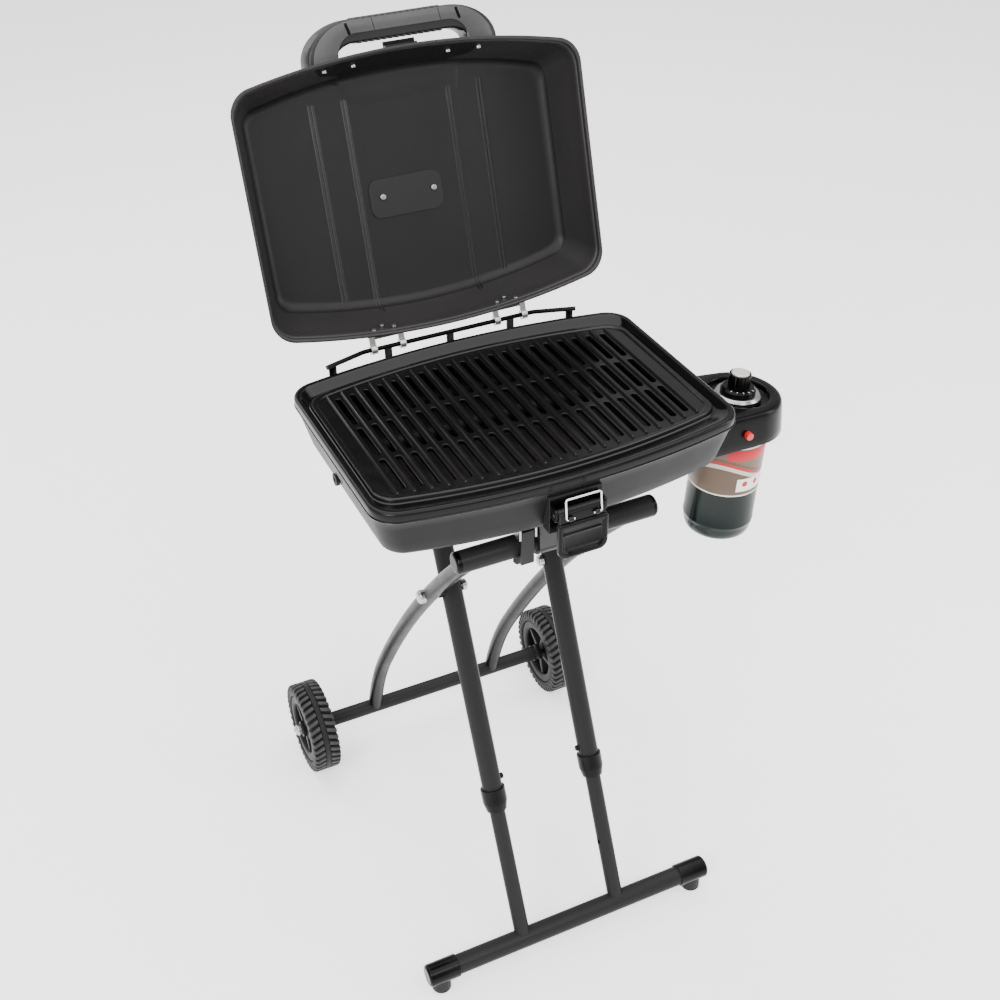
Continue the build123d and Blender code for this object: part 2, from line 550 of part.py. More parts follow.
def latch():
    pin_y = FRONT - 13
    pin_z = 779.0
    base = block((LATCH_X - 34, LATCH_X + 34), (FRONT - 4, FRONT + 30), (748, 798))
    base -= skirt(PAN_TAPER, PAN_BASE_Z, 0, BAND_Z)
    base = base.solids().sort_by(Axis.Y)[0]
    for side in (-1, 1):
        ear_x = LATCH_X + side * 31.5
        ear = block((ear_x - 1.5, ear_x + 1.5), (pin_y - 5, FRONT + 2), (pin_z - 8, pin_z + 8))
        base += fillet(ear.edges().filter_by(Axis.X).group_by(Axis.Y)[0], 4) - skirt(0, 700, 0, 830)
    base -= rod((LATCH_X - 40, pin_y, pin_z), (LATCH_X + 40, pin_y, pin_z), 2.0)
    keep("latch_base", base.solids().sort_by(SortBy.VOLUME)[-1])
    keep("latch_pin", rod((LATCH_X - 33, pin_y, pin_z), (LATCH_X + 33, pin_y, pin_z), 2.0))

    lever = block((LATCH_X - 29.5, LATCH_X + 29.5), (pin_y - 4, pin_y + 4), (pin_z - 6, pin_z + 6))
    flap = block((LATCH_X - 32, LATCH_X + 32), (pin_y - 9, pin_y - 5), (722, pin_z - 9))
    flap = fillet(flap.edges().filter_by(Axis.Y).group_by(Axis.Z)[0], 12)
    flap += block((LATCH_X - 29.5, LATCH_X + 29.5), (pin_y - 9, pin_y - 5), (pin_z - 10, pin_z + 5))
    lever += flap
    lever += block((LATCH_X - 29.5, LATCH_X + 29.5), (pin_y - 6, pin_y - 3), (pin_z - 6, pin_z + 5))
    lip = block((LATCH_X - 27, LATCH_X + 27), (pin_y - 12, pin_y - 8), (728, 732))
    lever += lip
    lever -= rod((-60, pin_y, pin_z), (60, pin_y, pin_z), 2.0 + RUN)
    bail_y = pin_y - 11.5
    bail_z = pin_z - 2
    for side in (-1, 1):
        lug_x = LATCH_X + side * 17
        lug = block((lug_x - 3, lug_x + 3), (bail_y - 2.6, pin_y - 8), (bail_z - 3, bail_z + 3))
        lever += lug
    lever -= rod((-60, bail_y, bail_z), (60, bail_y, bail_z), 1.2 + RUN)
    keep("latch_lever", lever)

    top_y = bail_y + 3
    top_z = 803.0
    half = 22.5
    normal = Vector(0, bail_z - top_z, top_y - bail_y)
    tilt = Plane(origin=(LATCH_X, bail_y, bail_z), x_dir=(1, 0, 0), z_dir=normal)
    rise = hypot(top_z - bail_z, top_y - bail_y)
    with BuildLine(tilt) as route:
        FilletPolyline((-12, 0), (-half, 0), (-half, rise), (half, rise), (half, 0), (12, 0), radius=2.5)
    line = route.line
    frame = sweep(Plane(origin=line @ 0, z_dir=line % 0) * Circle(1.2), path=line)
    keep("wire_bail", frame)


def bar_bracket():
    """Steel bracket under the pan that the cross bar turns in, and the fold hook beside it."""
    bore = UPPER_R + 0.3
    strap = block((-31, 31), (BAR_Y - 18, BAR_Y + 18), (BAR_Z - 2, PAN_BASE_Z))
    strap += rod((-31, BAR_Y, BAR_Z), (31, BAR_Y, BAR_Z), 18)
    strap -= block((-40, 40), (BAR_Y - 15.3, BAR_Y + 15.3), (BAR_Z + 18, PAN_BASE_Z - 3))
    strap -= rod((-40, BAR_Y, BAR_Z), (40, BAR_Y, BAR_Z), bore)
    keep("bar_bracket", strap)

    hook_y = BAR_Y - UPPER_R - 6
    hook_z = 727.0
    mount = block((-62, -59.5), (hook_y - 6, hook_y + 8), (hook_z - 5, PAN_BASE_Z))
    mount += block((-41.5, -39), (hook_y - 6, hook_y + 8), (hook_z - 5, PAN_BASE_Z))
    mount -= rod((-70, hook_y, hook_z), (-30, hook_y, hook_z), 1.5)
    keep("hook_mount", group([mount, rod((-62, hook_y, hook_z), (-39, hook_y, hook_z), 1.5)]))
    hook = block((-59, -42), (hook_y - 4.4, hook_y + 4.4), (hook_z - 4, hook_z + 4.4))
    hook += block((-59, -42), (hook_y - 4.4, hook_y + 0.4), (BAR_Z - 12, hook_z))
    jaw = rod((-59, BAR_Y, BAR_Z), (-42, BAR_Y, BAR_Z), 22.5)
    jaw &= block((-59, -42), (hook_y - 3.5, BAR_Y - 1), (BAR_Z - 30, BAR_Z - 2))
    hook += jaw
    hook -= rod((-70, BAR_Y, BAR_Z), (-30, BAR_Y, BAR_Z), UPPER_R + 0.6)
    hook -= rod((-70, hook_y, hook_z), (-30, hook_y, hook_z), 1.5 + RUN)
    keep("stand_hook", hook.solids().sort_by(SortBy.VOLUME)[-1])


def top_saddles():
    """Two saddles under the pan that rest on the straight legs' top tube; open to the rear."""
    gap = LOWER_R + 1.0
    pieces = []
    for x in (-45, 45):
        pad = block((x - 11, x + 11), (TOP_Y - gap - 3, TOP_Y + 6), (TOP_TUBE_Z + gap, PAN_BASE_Z))
        wall = block((x - 11, x + 11), (TOP_Y - gap - 3, TOP_Y - gap), (TOP_TUBE_Z - 10, TOP_TUBE_Z + gap))
        pieces.append(pad + wall)
    keep("leg_saddles", group(pieces))


# --- Gas side -------------------------------------------------------------------------------------

def leaned(shape):
    return shape.rotate(Axis((GAS_X, GAS_Y, DECK_Z), (0, 1, 0)), GAS_LEAN)


def on_axis(low, high, radius):
    """Round solid on the regulator's axis, between two heights measured from the arm's top."""
    return rod((GAS_X, GAS_Y, DECK_Z + low), (GAS_X, GAS_Y, DECK_Z + high), radius)


def arm_plan(grow, level):
    """Plan of the arm: a round end joined by two tangent sides to a wider root at the pan."""
    root_x = PAN_HALF - PAN_TAPER - 6
    radius = SHROUD_R + grow
    half = SHROUD_R + 7 + grow
    turn = acos(radius / hypot(GAS_X - root_x, half))
    toward = atan2(half, root_x - GAS_X)
    touch_x = GAS_X + radius * cos(toward - turn)
    touch_y = radius * sin(toward - turn)
    with BuildSketch(Plane.XY.offset(DECK_Z + level)) as sketch:
        with BuildLine():
            Line((root_x, GAS_Y + half), (root_x, GAS_Y - half))
            Line((root_x, GAS_Y - half), (touch_x, GAS_Y - touch_y))
            ThreePointArc((touch_x, GAS_Y - touch_y), (GAS_X + radius, GAS_Y), (touch_x, GAS_Y + touch_y))
            Line((touch_x, GAS_Y + touch_y), (root_x, GAS_Y + half))
        make_face()
    return sketch.sketch.face()


def gas_shroud():
    """Moulded arm beside the pan: a hollow hood with a round recess for the regulator."""
    hood = loft([arm_plan(0, -SKIRT), arm_plan(-6, 0)])
    round_end = hood.edges().group_by(Axis.Z)[-1].filter_by(lambda e: e.center().X > PAN_HALF)
    hood = fillet(round_end, 5)
    hood -= loft([arm_plan(-3, -SKIRT - 1), arm_plan(-9, -3)])
    hood -= on_axis(-4, 5, 41)
    cup = on_axis(-10.5, -8, 43)
    cup += on_axis(-10, -2.8, 43) - on_axis(-11, 0, 41)
    hood += cup - on_axis(-20, 0, 20.2)
    hood -= rod((BUTTON_X, GAS_Y - 90, BUTTON_Z), (BUTTON_X, GAS_Y - 40, BUTTON_Z), 5.6)
    hood = leaned(hood) - skirt(PAN_TAPER, PAN_BASE_Z, 0, BAND_Z)
    hood -= skirt(PAN_TAPER + 8, PAN_BASE_Z - 60, PAN_TAPER + 8, PAN_BASE_Z + 1)
    keep("gas_shroud", hood.solids().sort_by(SortBy.VOLUME)[-1])


def regulator():
    body = on_axis(-25, -7, 20) - on_axis(-26, -14, 12.4)
    body = leaned(body)
    body += rod((GAS_X - 27, GAS_Y, BURNER_Z), (GAS_X - 15, GAS_Y, BURNER_Z), 7.9)
    keep("regulator_body", body - leaned(on_axis(-30, -14, 12.4)))
    disc = on_axis(-7, 1, 31)
    disc = chamfer(disc.edges().group_by(Axis.Z)[-1], 3.5)
    keep("regulator_disc", leaned(disc - on_axis(-3, 5, 5)))
    keep("valve_stem", leaned(on_axis(-3, 20, 5)))


def control_knob():
    flange = on_axis(2, 9, 23)
    flange = chamfer(flange.edges().group_by(Axis.Z)[-1], 3)
    grip = on_axis(9, 27, 14.3)
    flutes = 18
    for index in range(flutes):
        angle = 2 * pi * index / flutes
        spot = (GAS_X + 15.1 * cos(angle), GAS_Y + 15.1 * sin(angle))
        grip -= rod((*spot, DECK_Z + 11), (*spot, DECK_Z + 28), 1.6)
    knob = flange + grip
    knob -= on_axis(0, 21, 5 + RUN)
    knob -= on_axis(25.5, 30, 11.7)
    keep("control_knob", leaned(knob))
    cap = on_axis(25.5, 29, 11.7)
    keep("knob_cap", leaned(fillet(cap.edges().group_by(Axis.Z)[-1], 1.5)))


def igniter():
    """Push button in the arm's front face and the piezo sleeve behind it."""
    face_y = GAS_Y - SHROUD_R + 2
    button = rod((BUTTON_X, face_y - 9, BUTTON_Z), (BUTTON_X, face_y + 14, BUTTON_Z), 5.2)
    button = fillet(button.edges().group_by(Axis.Y)[0], 1.5)
    keep("igniter_button", leaned(button))
    sleeve = tube((BUTTON_X, face_y + 9, BUTTON_Z), (BUTTON_X, face_y + 24, BUTTON_Z), 8, 5.6)
    sleeve += rod((BUTTON_X, face_y + 20, BUTTON_Z), (BUTTON_X, face_y + 24, BUTTON_Z), 8)
    keep("igniter_body", leaned(sleeve))


def can_solid(inset):
    """Round can standing on the origin: hollow foot, straight side and domed shoulder."""
    radius = GAS_R - inset
    with BuildSketch(Plane.XZ) as half:
        with BuildLine():
            Polyline((0, 10 + inset), (34 + inset, 10 + inset), (34 + inset, inset), (41.5 - inset, inset))
            ThreePointArc((41.5 - inset, inset), (45.4 - inset, 8), (radius, 20))
            Line((radius, 20), (radius, 148))
            ThreePointArc((radius, 148), (37 - 0.7 * inset, 168 - 0.7 * inset), (14, 176 - inset))
            Polyline((14, 176 - inset), (0, 176 - inset), (0, 10 + inset))
        make_face()
    return revolve(half.sketch, Axis.Z)


def gas_cylinder():
    can = can_solid(0) - can_solid(CAN_WALL)
    foot = GAS_BASE_Z - DECK_Z
    keep("cylinder_can", leaned(Pos(GAS_X, GAS_Y, GAS_BASE_Z) * can))
    label = on_axis(foot + 73, foot + 147, GAS_R + 0.4) - on_axis(foot + 70, foot + 150, GAS_R)
    keep("cylinder_label", leaned(label))
    keep("cylinder_neck", leaned(on_axis(foot + 176, foot + 190, 12)))


def build():
    straight_legs()
    lower_legs()
    snap_buttons()
    arched_legs()
    wheels()
    pan_shell()
    grate()
    burner()
    back_rail()
    lid()
    latch()
    bar_bracket()
    top_saddles()
    gas_shroud()
    regulator()
    control_knob()
    igniter()
    gas_cylinder()


build()
box = Compound(children=[solid for shape in NODES.values() for solid in shape.solids()]).bounding_box()
SHIFT = (-(box.min.X + box.max.X) / 2, -(box.min.Y + box.max.Y) / 2, -box.min.Z)
os.makedirs("parts", exist_ok=True)
for name, shape in NODES.items():
    export_step(Pos(*SHIFT) * shape, "parts/" + name + ".step")
print(len(NODES), "nodes, shift", [round(v, 3) for v in SHIFT])
print("size", [round(v, 1) for v in (box.max - box.min)])
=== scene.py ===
"""Looks of the folding camp grill: pieces, materials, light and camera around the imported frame.

Lengths in the shape code are millimetres in the part's modelling frame (x = 0 the middle of the
grill, y = 0 the bolt where the legs cross, z = 0 the ground). at() turns them into row metres.
"""

import json
from math import acos, atan2, cos, hypot, pi, radians, sin, sqrt

import bmesh
import bpy
from mathutils import Matrix, Vector


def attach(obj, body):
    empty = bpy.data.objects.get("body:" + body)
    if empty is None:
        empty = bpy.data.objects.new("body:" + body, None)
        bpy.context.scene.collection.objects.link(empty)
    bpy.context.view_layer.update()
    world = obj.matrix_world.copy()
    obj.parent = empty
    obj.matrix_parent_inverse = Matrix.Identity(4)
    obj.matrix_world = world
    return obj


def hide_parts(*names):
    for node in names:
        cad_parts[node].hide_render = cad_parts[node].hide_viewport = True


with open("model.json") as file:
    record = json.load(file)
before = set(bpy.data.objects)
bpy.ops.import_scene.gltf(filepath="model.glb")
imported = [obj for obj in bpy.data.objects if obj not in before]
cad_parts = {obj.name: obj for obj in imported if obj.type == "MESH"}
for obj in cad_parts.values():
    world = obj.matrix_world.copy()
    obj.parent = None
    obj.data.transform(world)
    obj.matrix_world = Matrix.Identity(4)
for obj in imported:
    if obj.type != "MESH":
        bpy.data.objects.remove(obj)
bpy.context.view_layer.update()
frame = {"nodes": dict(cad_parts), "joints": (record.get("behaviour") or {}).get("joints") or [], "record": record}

JOINTS = {joint["name"]: joint for joint in frame["joints"]}
ORIGIN = Vector((JOINTS["leg_cross"]["pos_m"][0], JOINTS["leg_cross"]["pos_m"][1], 0.0))
HINGE = Vector((0.0, JOINTS["lid_hinge"]["pos_m"][1], JOINTS["lid_hinge"]["pos_m"][2])) * 1000
HINGE.y -= ORIGIN.y * 1000
LID_OPEN = radians(106.7)

# Gas arm: the regulator's axis on its deck, the lean, the round end and the root at the pan wall.
ARM = Vector((300.0, -85.0, 775.0))
ARM_LEAN = radians(4.5)
ARM_R = 63.0
ARM_LENGTH = 85.0
ARM_ROOT_HALF = 70.0

# Pan: half width, front and back edges at the corners, how far they bow out, and heights.
PAN_HALF = 235.0
PAN_FRONT = -187.0
PAN_BACK = 113.0
BOW_FRONT = 28.0
BOW_BACK = 26.0
CORNER_R = 34.0
BAND_Z = 802.0
WALL_DEPTH = 51.0
WALL_TAPER = 12.9
LID_Z = 817.0
LID_DEPTH = 70.0
LID_TAPER = 26.0
GRATE_INSET = 13.0
GRATE_FRONT = 17.0
GRATE_REAR = 9.0
GRATE_TOP = 811.0
GRATE_PITCH = 19.6
LATCH_X = -6.0
FRONT = PAN_FRONT - BOW_FRONT
AXLE = Vector((0.0, 288.0, 74.5))
WHEEL_X = 215.5
WHEEL_W = 43.0
CYLINDER_FOOT = 570.0
LABEL_LOW = 73.0
LABEL_TALL = 74.0

# The camera: direction in radians, place in the modelling frame and focal length in mm.
CAMERA_YAW = 0.42947
CAMERA_PITCH = 0.61661
CAMERA_ROLL = -0.01962
CAMERA_PLACE = (-627.99, -1368.57, 1711.98)
CAMERA_LENS = 50.48


def at(point):
    """A modelling point in millimetres as a point of the row frame in metres."""
    return ORIGIN + Vector(point) / 1000


def opened(point):
    """Where a point of the closed lid is once the lid stands open."""
    return HINGE + Matrix.Rotation(-LID_OPEN, 3, "X") @ (Vector(point) - HINGE)


def leaned(point):
    """Where a point of the upright gas arm is once the arm leans."""
    return ARM + Matrix.Rotation(ARM_LEAN, 3, "Y") @ (Vector(point) - ARM)


def still(point):
    return Vector(point)


def bow_share(x):
    """How much of the front or back bow there is at x: 1 in the middle, 0 at the side walls."""
    return 1 - (x / PAN_HALF) ** 2


# --- Materials ---------------------------------------------------------------------------------

def noise(tree, coords, scale, detail, stretch):
    """Noise over the object's own coordinates, stretched by axis."""
    mapping = tree.nodes.new("ShaderNodeMapping")
    mapping.inputs["Scale"].default_value = stretch
    tree.links.new(coords, mapping.inputs["Vector"])
    made = tree.nodes.new("ShaderNodeTexNoise")
    made.inputs["Scale"].default_value = scale
    made.inputs["Detail"].default_value = detail
    tree.links.new(mapping.outputs["Vector"], made.inputs["Vector"])
    return made.outputs["Fac"]


def spread(tree, value, low, high):
    """A noise value mapped to the range low..high."""
    made = tree.nodes.new("ShaderNodeMapRange")
    made.inputs["From Min"].default_value = 0.3
    made.inputs["From Max"].default_value = 0.7
    made.inputs["To Min"].default_value = low
    made.inputs["To Max"].default_value = high
    tree.links.new(value, made.inputs["Value"])
    return made.outputs["Result"]


def blended(tree, factor, first, second):
    """Two colours or colour sockets mixed by a factor."""
    made = tree.nodes.new("ShaderNodeMix")
    made.data_type = "RGBA"
    tree.links.new(factor, made.inputs["Factor"])
    for socket, colour in ((made.inputs[6], first), (made.inputs[7], second)):
        if hasattr(colour, "links"):
            tree.links.new(colour, socket)
        else:
            socket.default_value = (*colour, 1.0)
    return made.outputs[2]


def surface(name, colour, rough, metallic=0.0, coat=0.0, mottle=0.12, patches=9.0, rough_spread=0.05,
            grain=900.0, bump=0.06, depth=0.0004, stretch=(1, 1, 1), worn=None, specular=0.5):
    """A procedural finish: mottled colour, uneven roughness, fine grain and paler worn edges."""
    made = bpy.data.materials.new(name)
    made.use_nodes = True
    tree = made.node_tree
    shader = tree.nodes["Principled BSDF"]
    coords = tree.nodes.new("ShaderNodeTexCoord").outputs["Object"]
    broad = noise(tree, coords, patches, 3.0, stretch)
    fine = noise(tree, coords, grain, 3.0, stretch)
    dark = tuple(c * (1 - mottle) for c in colour)
    light = tuple(min(1, c * (1 + mottle)) for c in colour)
    paint = blended(tree, spread(tree, broad, 0, 1), dark, light)
    if worn:
        edge = tree.nodes.new("ShaderNodeNewGeometry").outputs["Pointiness"]
        pick = tree.nodes.new("ShaderNodeMapRange")
        pick.inputs["From Min"].default_value = 0.53
        pick.inputs["From Max"].default_value = 0.62
        tree.links.new(edge, pick.inputs["Value"])
        paint = blended(tree, pick.outputs["Result"], paint, worn)
    tree.links.new(paint, shader.inputs["Base Color"])
    smudge = noise(tree, coords, patches * 3.1, 5.0, stretch)
    tree.links.new(spread(tree, smudge, max(0.02, rough - rough_spread), rough + rough_spread),
                   shader.inputs["Roughness"])
    shader.inputs["Metallic"].default_value = metallic
    shader.inputs["Specular IOR Level"].default_value = specular
    shader.inputs["Coat Weight"].default_value = coat
    shader.inputs["Coat Roughness"].default_value = 0.08
    relief = tree.nodes.new("ShaderNodeBump")
    relief.inputs["Strength"].default_value = bump
    relief.inputs["Distance"].default_value = depth
    tree.links.new(fine, relief.inputs["Height"])
    tree.links.new(relief.outputs["Normal"], shader.inputs["Normal"])
    return made


def label_print():
    """Printed film: tan field with a pale sweep, a red field above and a white panel of dots."""
    made = surface("label_print", (0.105, 0.07, 0.047), 0.34, specular=0.25)
    tree = made.node_tree
    shader = tree.nodes["Principled BSDF"]
    uv = tree.nodes.new("ShaderNodeTexCoord").outputs["UV"]
    split = tree.nodes.new("ShaderNodeSeparateXYZ")
    tree.links.new(uv, split.inputs["Vector"])
    across, up = split.outputs["X"], split.outputs["Y"]

    def calc(operation, first, second=0.0):
        node = tree.nodes.new("ShaderNodeMath")
        node.operation = operation
        for socket, value in zip(node.inputs, (first, second)):
            if hasattr(value, "links"):
                tree.links.new(value, socket)
            else:
                socket.default_value = value
        return node.outputs["Value"]

    def between(value, low, high):
        return calc("MULTIPLY", calc("GREATER_THAN", value, low), calc("LESS_THAN", value, high))

    prints = 2.0
    repeated = calc("FRACT", calc("MULTIPLY", across, prints))
    wave = calc("MULTIPLY", calc("SINE", calc("MULTIPLY", across, 2 * pi * prints)), 0.13)
    bend = calc("SUBTRACT", up, wave)
    paint = shader.inputs["Base Color"].links[0].from_socket
    paint = blended(tree, calc("GREATER_THAN", bend, 0.62), paint, (0.15, 0.105, 0.073))
    paint = blended(tree, between(bend, 0.42, 0.5), paint, (0.55, 0.5, 0.43))
    paint = blended(tree, between(bend, 0.5, 0.56), paint, (0.45, 0.02, 0.025))
    red_field = calc("MULTIPLY", between(up, 0.74, 0.95), between(repeated, 0.3, 0.8))
    paint = blended(tree, red_field, paint, (0.5, 0.02, 0.03))
    panel = calc("MULTIPLY", between(up, 0.1, 0.36), between(repeated, 0.42, 0.8))
    paint = blended(tree, panel, paint, (0.82, 0.8, 0.76))
    dots = tree.nodes.new("ShaderNodeTexVoronoi")
    dots.inputs["Scale"].default_value = 1.0
    dots.inputs["Randomness"].default_value = 0.0
    sized = tree.nodes.new("ShaderNodeMapping")
    sized.inputs["Scale"].default_value = (16.0, 4.0, 1.0)
    tree.links.new(uv, sized.inputs["Vector"])
    tree.links.new(sized.outputs["Vector"], dots.inputs["Vector"])
    spots = calc("MULTIPLY", panel, calc("LESS_THAN", dots.outputs["Distance"], 0.22))
    paint = blended(tree, spots, paint, (0.42, 0.03, 0.03))
    edge = calc("ADD", calc("LESS_THAN", up, 0.03), calc("GREATER_THAN", up, 0.97))
    paint = blended(tree, edge, paint, (0.75, 0.7, 0.62))
    tree.links.new(paint, shader.inputs["Base Color"])
    return made


LOOK = {
    "lid": surface("lid_enamel", (0.003, 0.0027, 0.0029), 0.48, mottle=0.16, patches=5, bump=0.05,
                   grain=1400, specular=0.3, worn=(0.03, 0.03, 0.03)),
    # Paler copy of the lid's enamel for its walls: painted light, the walls drawn lighter than the ceiling as if
    # they caught more light.
    "lid_wall_painted_light": surface("lid_wall_enamel_painted_light", (0.0145, 0.0132, 0.0138), 0.5, mottle=0.16, patches=5,
                        bump=0.05, grain=1400, specular=0.4),
    "pan": surface("pan_enamel", (0.006, 0.0052, 0.0053), 0.42, mottle=0.1, patches=6, bump=0.05,
                   grain=1300, specular=0.13, worn=(0.04, 0.04, 0.04)),
    "band": surface("band_enamel", (0.0026, 0.0025, 0.0027), 0.24, bump=0.04, specular=0.16,
                    worn=(0.03, 0.03, 0.03)),
    "ledge": surface("ledge_enamel", (0.0022, 0.0022, 0.0024), 0.16, bump=0.05, grain=500, specular=0.22,
                     worn=(0.02, 0.02, 0.02)),
    "grate": surface("cast_enamel", (0.0028, 0.0028, 0.003), 0.2, bump=0.25, grain=260, depth=0.0006,
                     patches=14, specular=0.22, worn=(0.015, 0.015, 0.015)),
    "tube": surface("gloss_powder", (0.0009, 0.0009, 0.001), 0.22, bump=0.1, grain=700, specular=0.05,
                    worn=(0.02, 0.02, 0.02)),
    "grey_tube": surface("grey_powder", (0.0034, 0.0031, 0.0031), 0.34, bump=0.12, grain=800,
                         specular=0.12, worn=(0.05, 0.05, 0.05)),
    "plastic": surface("black_moulded", (0.0014, 0.0013, 0.0014), 0.24, bump=0.14, grain=1100,
                       specular=0.12, worn=(0.03, 0.03, 0.03)),
    "casing": surface("handle_moulded", (0.006, 0.006, 0.0062), 0.42, bump=0.2, grain=1000,
                      specular=0.33, worn=(0.03, 0.03, 0.03)),
    "grey_plastic": surface("grey_moulded", (0.03, 0.0275, 0.029), 0.42, bump=0.2, grain=1000,
                            specular=0.4, worn=(0.12, 0.12, 0.12)),
    "wheel": surface("wheel_moulded", (0.0035, 0.0033, 0.0035), 0.48, bump=0.25, grain=700, patches=20,
                     specular=0.18, worn=(0.04, 0.04, 0.04)),
    "tread": surface("tread_moulded", (0.0042, 0.004, 0.0042), 0.55, bump=0.3, grain=600, patches=20,
                     specular=0.18, worn=(0.05, 0.05, 0.05)),
    "rubber": surface("pad_rubber", (0.006, 0.006, 0.006), 0.62, bump=0.3, grain=500, patches=30,
                      specular=0.25),
    "red": surface("button_red", (0.56, 0.008, 0.012), 0.28, coat=0.2, bump=0.05, mottle=0.06),
    "silver": surface("cap_silver", (0.6, 0.57, 0.55), 0.3, metallic=0.3, bump=0.1, mottle=0.05),
    "mark": surface("mark_white", (0.6, 0.6, 0.58), 0.5, bump=0.05, mottle=0.08),
    "steel": surface("brushed_steel", (0.4, 0.4, 0.39), 0.32, metallic=1.0, bump=0.12, grain=420,
                     stretch=(0.06, 1, 1), mottle=0.1, rough_spread=0.08),
    "burnt": surface("burnt_steel", (0.035, 0.03, 0.028), 0.55, metallic=0.8, bump=0.2, grain=300,
                     mottle=0.4, patches=30),
    "turned": surface("turned_steel", (0.36, 0.36, 0.36), 0.25, metallic=1.0, bump=0.1, grain=500,
                      stretch=(1, 1, 0.1), mottle=0.1),
    "chrome": surface("bright_wire", (0.7, 0.7, 0.69), 0.14, metallic=1.0, bump=0.04, mottle=0.04,
                      rough_spread=0.04),
    "brass": surface("machined_brass", (0.5, 0.36, 0.15), 0.3, metallic=1.0, bump=0.08, mottle=0.12),
    "green": surface("can_enamel", (0.0018, 0.0064, 0.0053), 0.2, bump=0.04, mottle=0.15, specular=0.25),
    "label": label_print(),
}

MATERIAL_OF_SLOT = {
    "satin_grey_enamel": "pan", "black_enamel": "lid", "black_powder_coat": "tube",
    "grey_powder_coat": "grey_tube", "cast_grate": "grate", "black_plastic": "plastic",
    "grey_plastic": "grey_plastic", "wheel_plastic": "wheel", "tread": "tread", "rubber": "rubber",
    "red_plastic": "red", "silver_plastic": "silver", "steel": "steel", "bright_wire": "chrome",
    "brass_parts": "brass", "green_enamel": "green", "label_film": "label",
}
SLOT_OF_NODE = {row["node"]: row["material_slot"] for row in frame["record"]["subparts"]}
BODY_OF_NODE = {}
for body_name, members in frame["record"]["behaviour"]["bodies"].items():
    for member in members:
        BODY_OF_NODE[member] = body_name


# --- Mesh helpers ------------------------------------------------------------------------------

def piece(name, mesh, node, look=None, replaces=False, bevel=0.0, segments=2, smooth=40.0):
    """Links a finished mesh, smooths it, and lets it ride on the body of a CAD node."""
    made = bpy.data.objects.new(name, mesh)
    bpy.context.scene.collection.objects.link(made)
    mesh.materials.clear()
    mesh.materials.append(LOOK[look or MATERIAL_OF_SLOT[SLOT_OF_NODE[node]]])
    mesh.polygons.foreach_set("use_smooth", [True] * len(mesh.polygons))
    mesh.set_sharp_from_angle(angle=radians(smooth))
    if bevel:
        modifier = made.modifiers.new("edge", "BEVEL")
        modifier.width = bevel / 1000
        modifier.segments = segments
        modifier.limit_method = "ANGLE"
        modifier.angle_limit = radians(smooth)
        modifier.use_clamp_overlap = True
        weights = made.modifiers.new("shading", "WEIGHTED_NORMAL")
        weights.keep_sharp = False
    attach(made, BODY_OF_NODE[node])
    if replaces:
        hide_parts(node)
    return made


def mesh_from(name, verts, faces, place=still):
    """A mesh from millimetre points, moved by place, with doubles merged and normals outward."""
    made = bpy.data.meshes.new(name)
    made.from_pydata([at(place(v)) for v in verts], [], faces)
    shape = bmesh.new()
    shape.from_mesh(made)
    bmesh.ops.remove_doubles(shape, verts=shape.verts, dist=2e-6)
    bmesh.ops.recalc_face_normals(shape, faces=shape.faces)
    shape.to_mesh(made)
    shape.free()
    return made


def skin(loops, closed=False, cap_first=False, cap_last=False):
    """Verts and faces through loops of equal length; closed joins the last loop to the first."""
    count = len(loops[0])
    verts = [point for loop in loops for point in loop]
    faces = []
    pairs = len(loops) if closed else len(loops) - 1
    for ring in range(pairs):
        low = ring * count
        high = (ring + 1) % len(loops) * count
        for i in range(count):
            j = (i + 1) % count
            faces.append((low + i, low + j, high + j, high + i))
    if cap_first:
        faces.append(tuple(reversed(range(count))))
    if cap_last:
        faces.append(tuple(range(len(verts) - count, len(verts))))
    return verts, faces


def outline(inset, z, more_front=0.0, more_back=0.0):
    """The pan's plan outline at a height: bowed front and back, straight sides, round corners."""
    half = PAN_HALF - inset
    front = PAN_FRONT + inset + more_front
    back = PAN_BACK - inset - more_back
    corner = max(3.0, CORNER_R - 0.4 * inset)
    points = []
    run_steps = 24
    corner_steps = 9
    for edge, bow, side in ((front, BOW_FRONT, -1), (back, BOW_BACK, 1)):
        big = (half ** 2 + bow ** 2) / (2 * bow)
        middle_y = edge + side * (bow - big)
        corner_x = half - corner
        corner_y = middle_y + side * sqrt((big - corner) ** 2 - corner_x ** 2)
        lean = atan2(corner_x, abs(corner_y - middle_y))
        run = []
        for i in range(run_steps + 1):
            turn = lean * (1 - 2 * i / run_steps)
            run.append((side * sin(turn) * big, middle_y + side * cos(turn) * big))
        arc = []
        for i in range(1, corner_steps + 1):
            turn = lean + (pi / 2 - lean) * i / corner_steps
            arc.append((corner_x + corner * sin(turn), corner_y + side * corner * cos(turn)))
        near = [(-x, y) for x, y in reversed(arc)]
        whole = near + sorted(run) + arc
        points += whole if side < 0 else list(reversed(whole))
    return [Vector((x, y, z)) for x, y in points]


def well(inset, z):
    """Outline whose front and back stand further in, down to the grate's outline."""
    share = max(0.0, min(1.0, (inset - 5) / (GRATE_INSET - 6)))
    return outline(inset, z, GRATE_FRONT * share, GRATE_REAR * share)


def softened(node, bevel, look=None, smooth=30.0):
    """A CAD piece as a new mesh with merged faces and rounded edges."""
    shape = bmesh.new()
    shape.from_mesh(frame["nodes"][node].data)
    bmesh.ops.remove_doubles(shape, verts=shape.verts, dist=2e-5)
    bmesh.ops.dissolve_limit(shape, angle_limit=radians(0.6), verts=shape.verts, edges=shape.edges)
    made = bpy.data.meshes.new(node + "_finished")
    shape.to_mesh(made)
    shape.free()
    piece(node + "_finished", made, node, look, True, bevel, smooth=smooth)


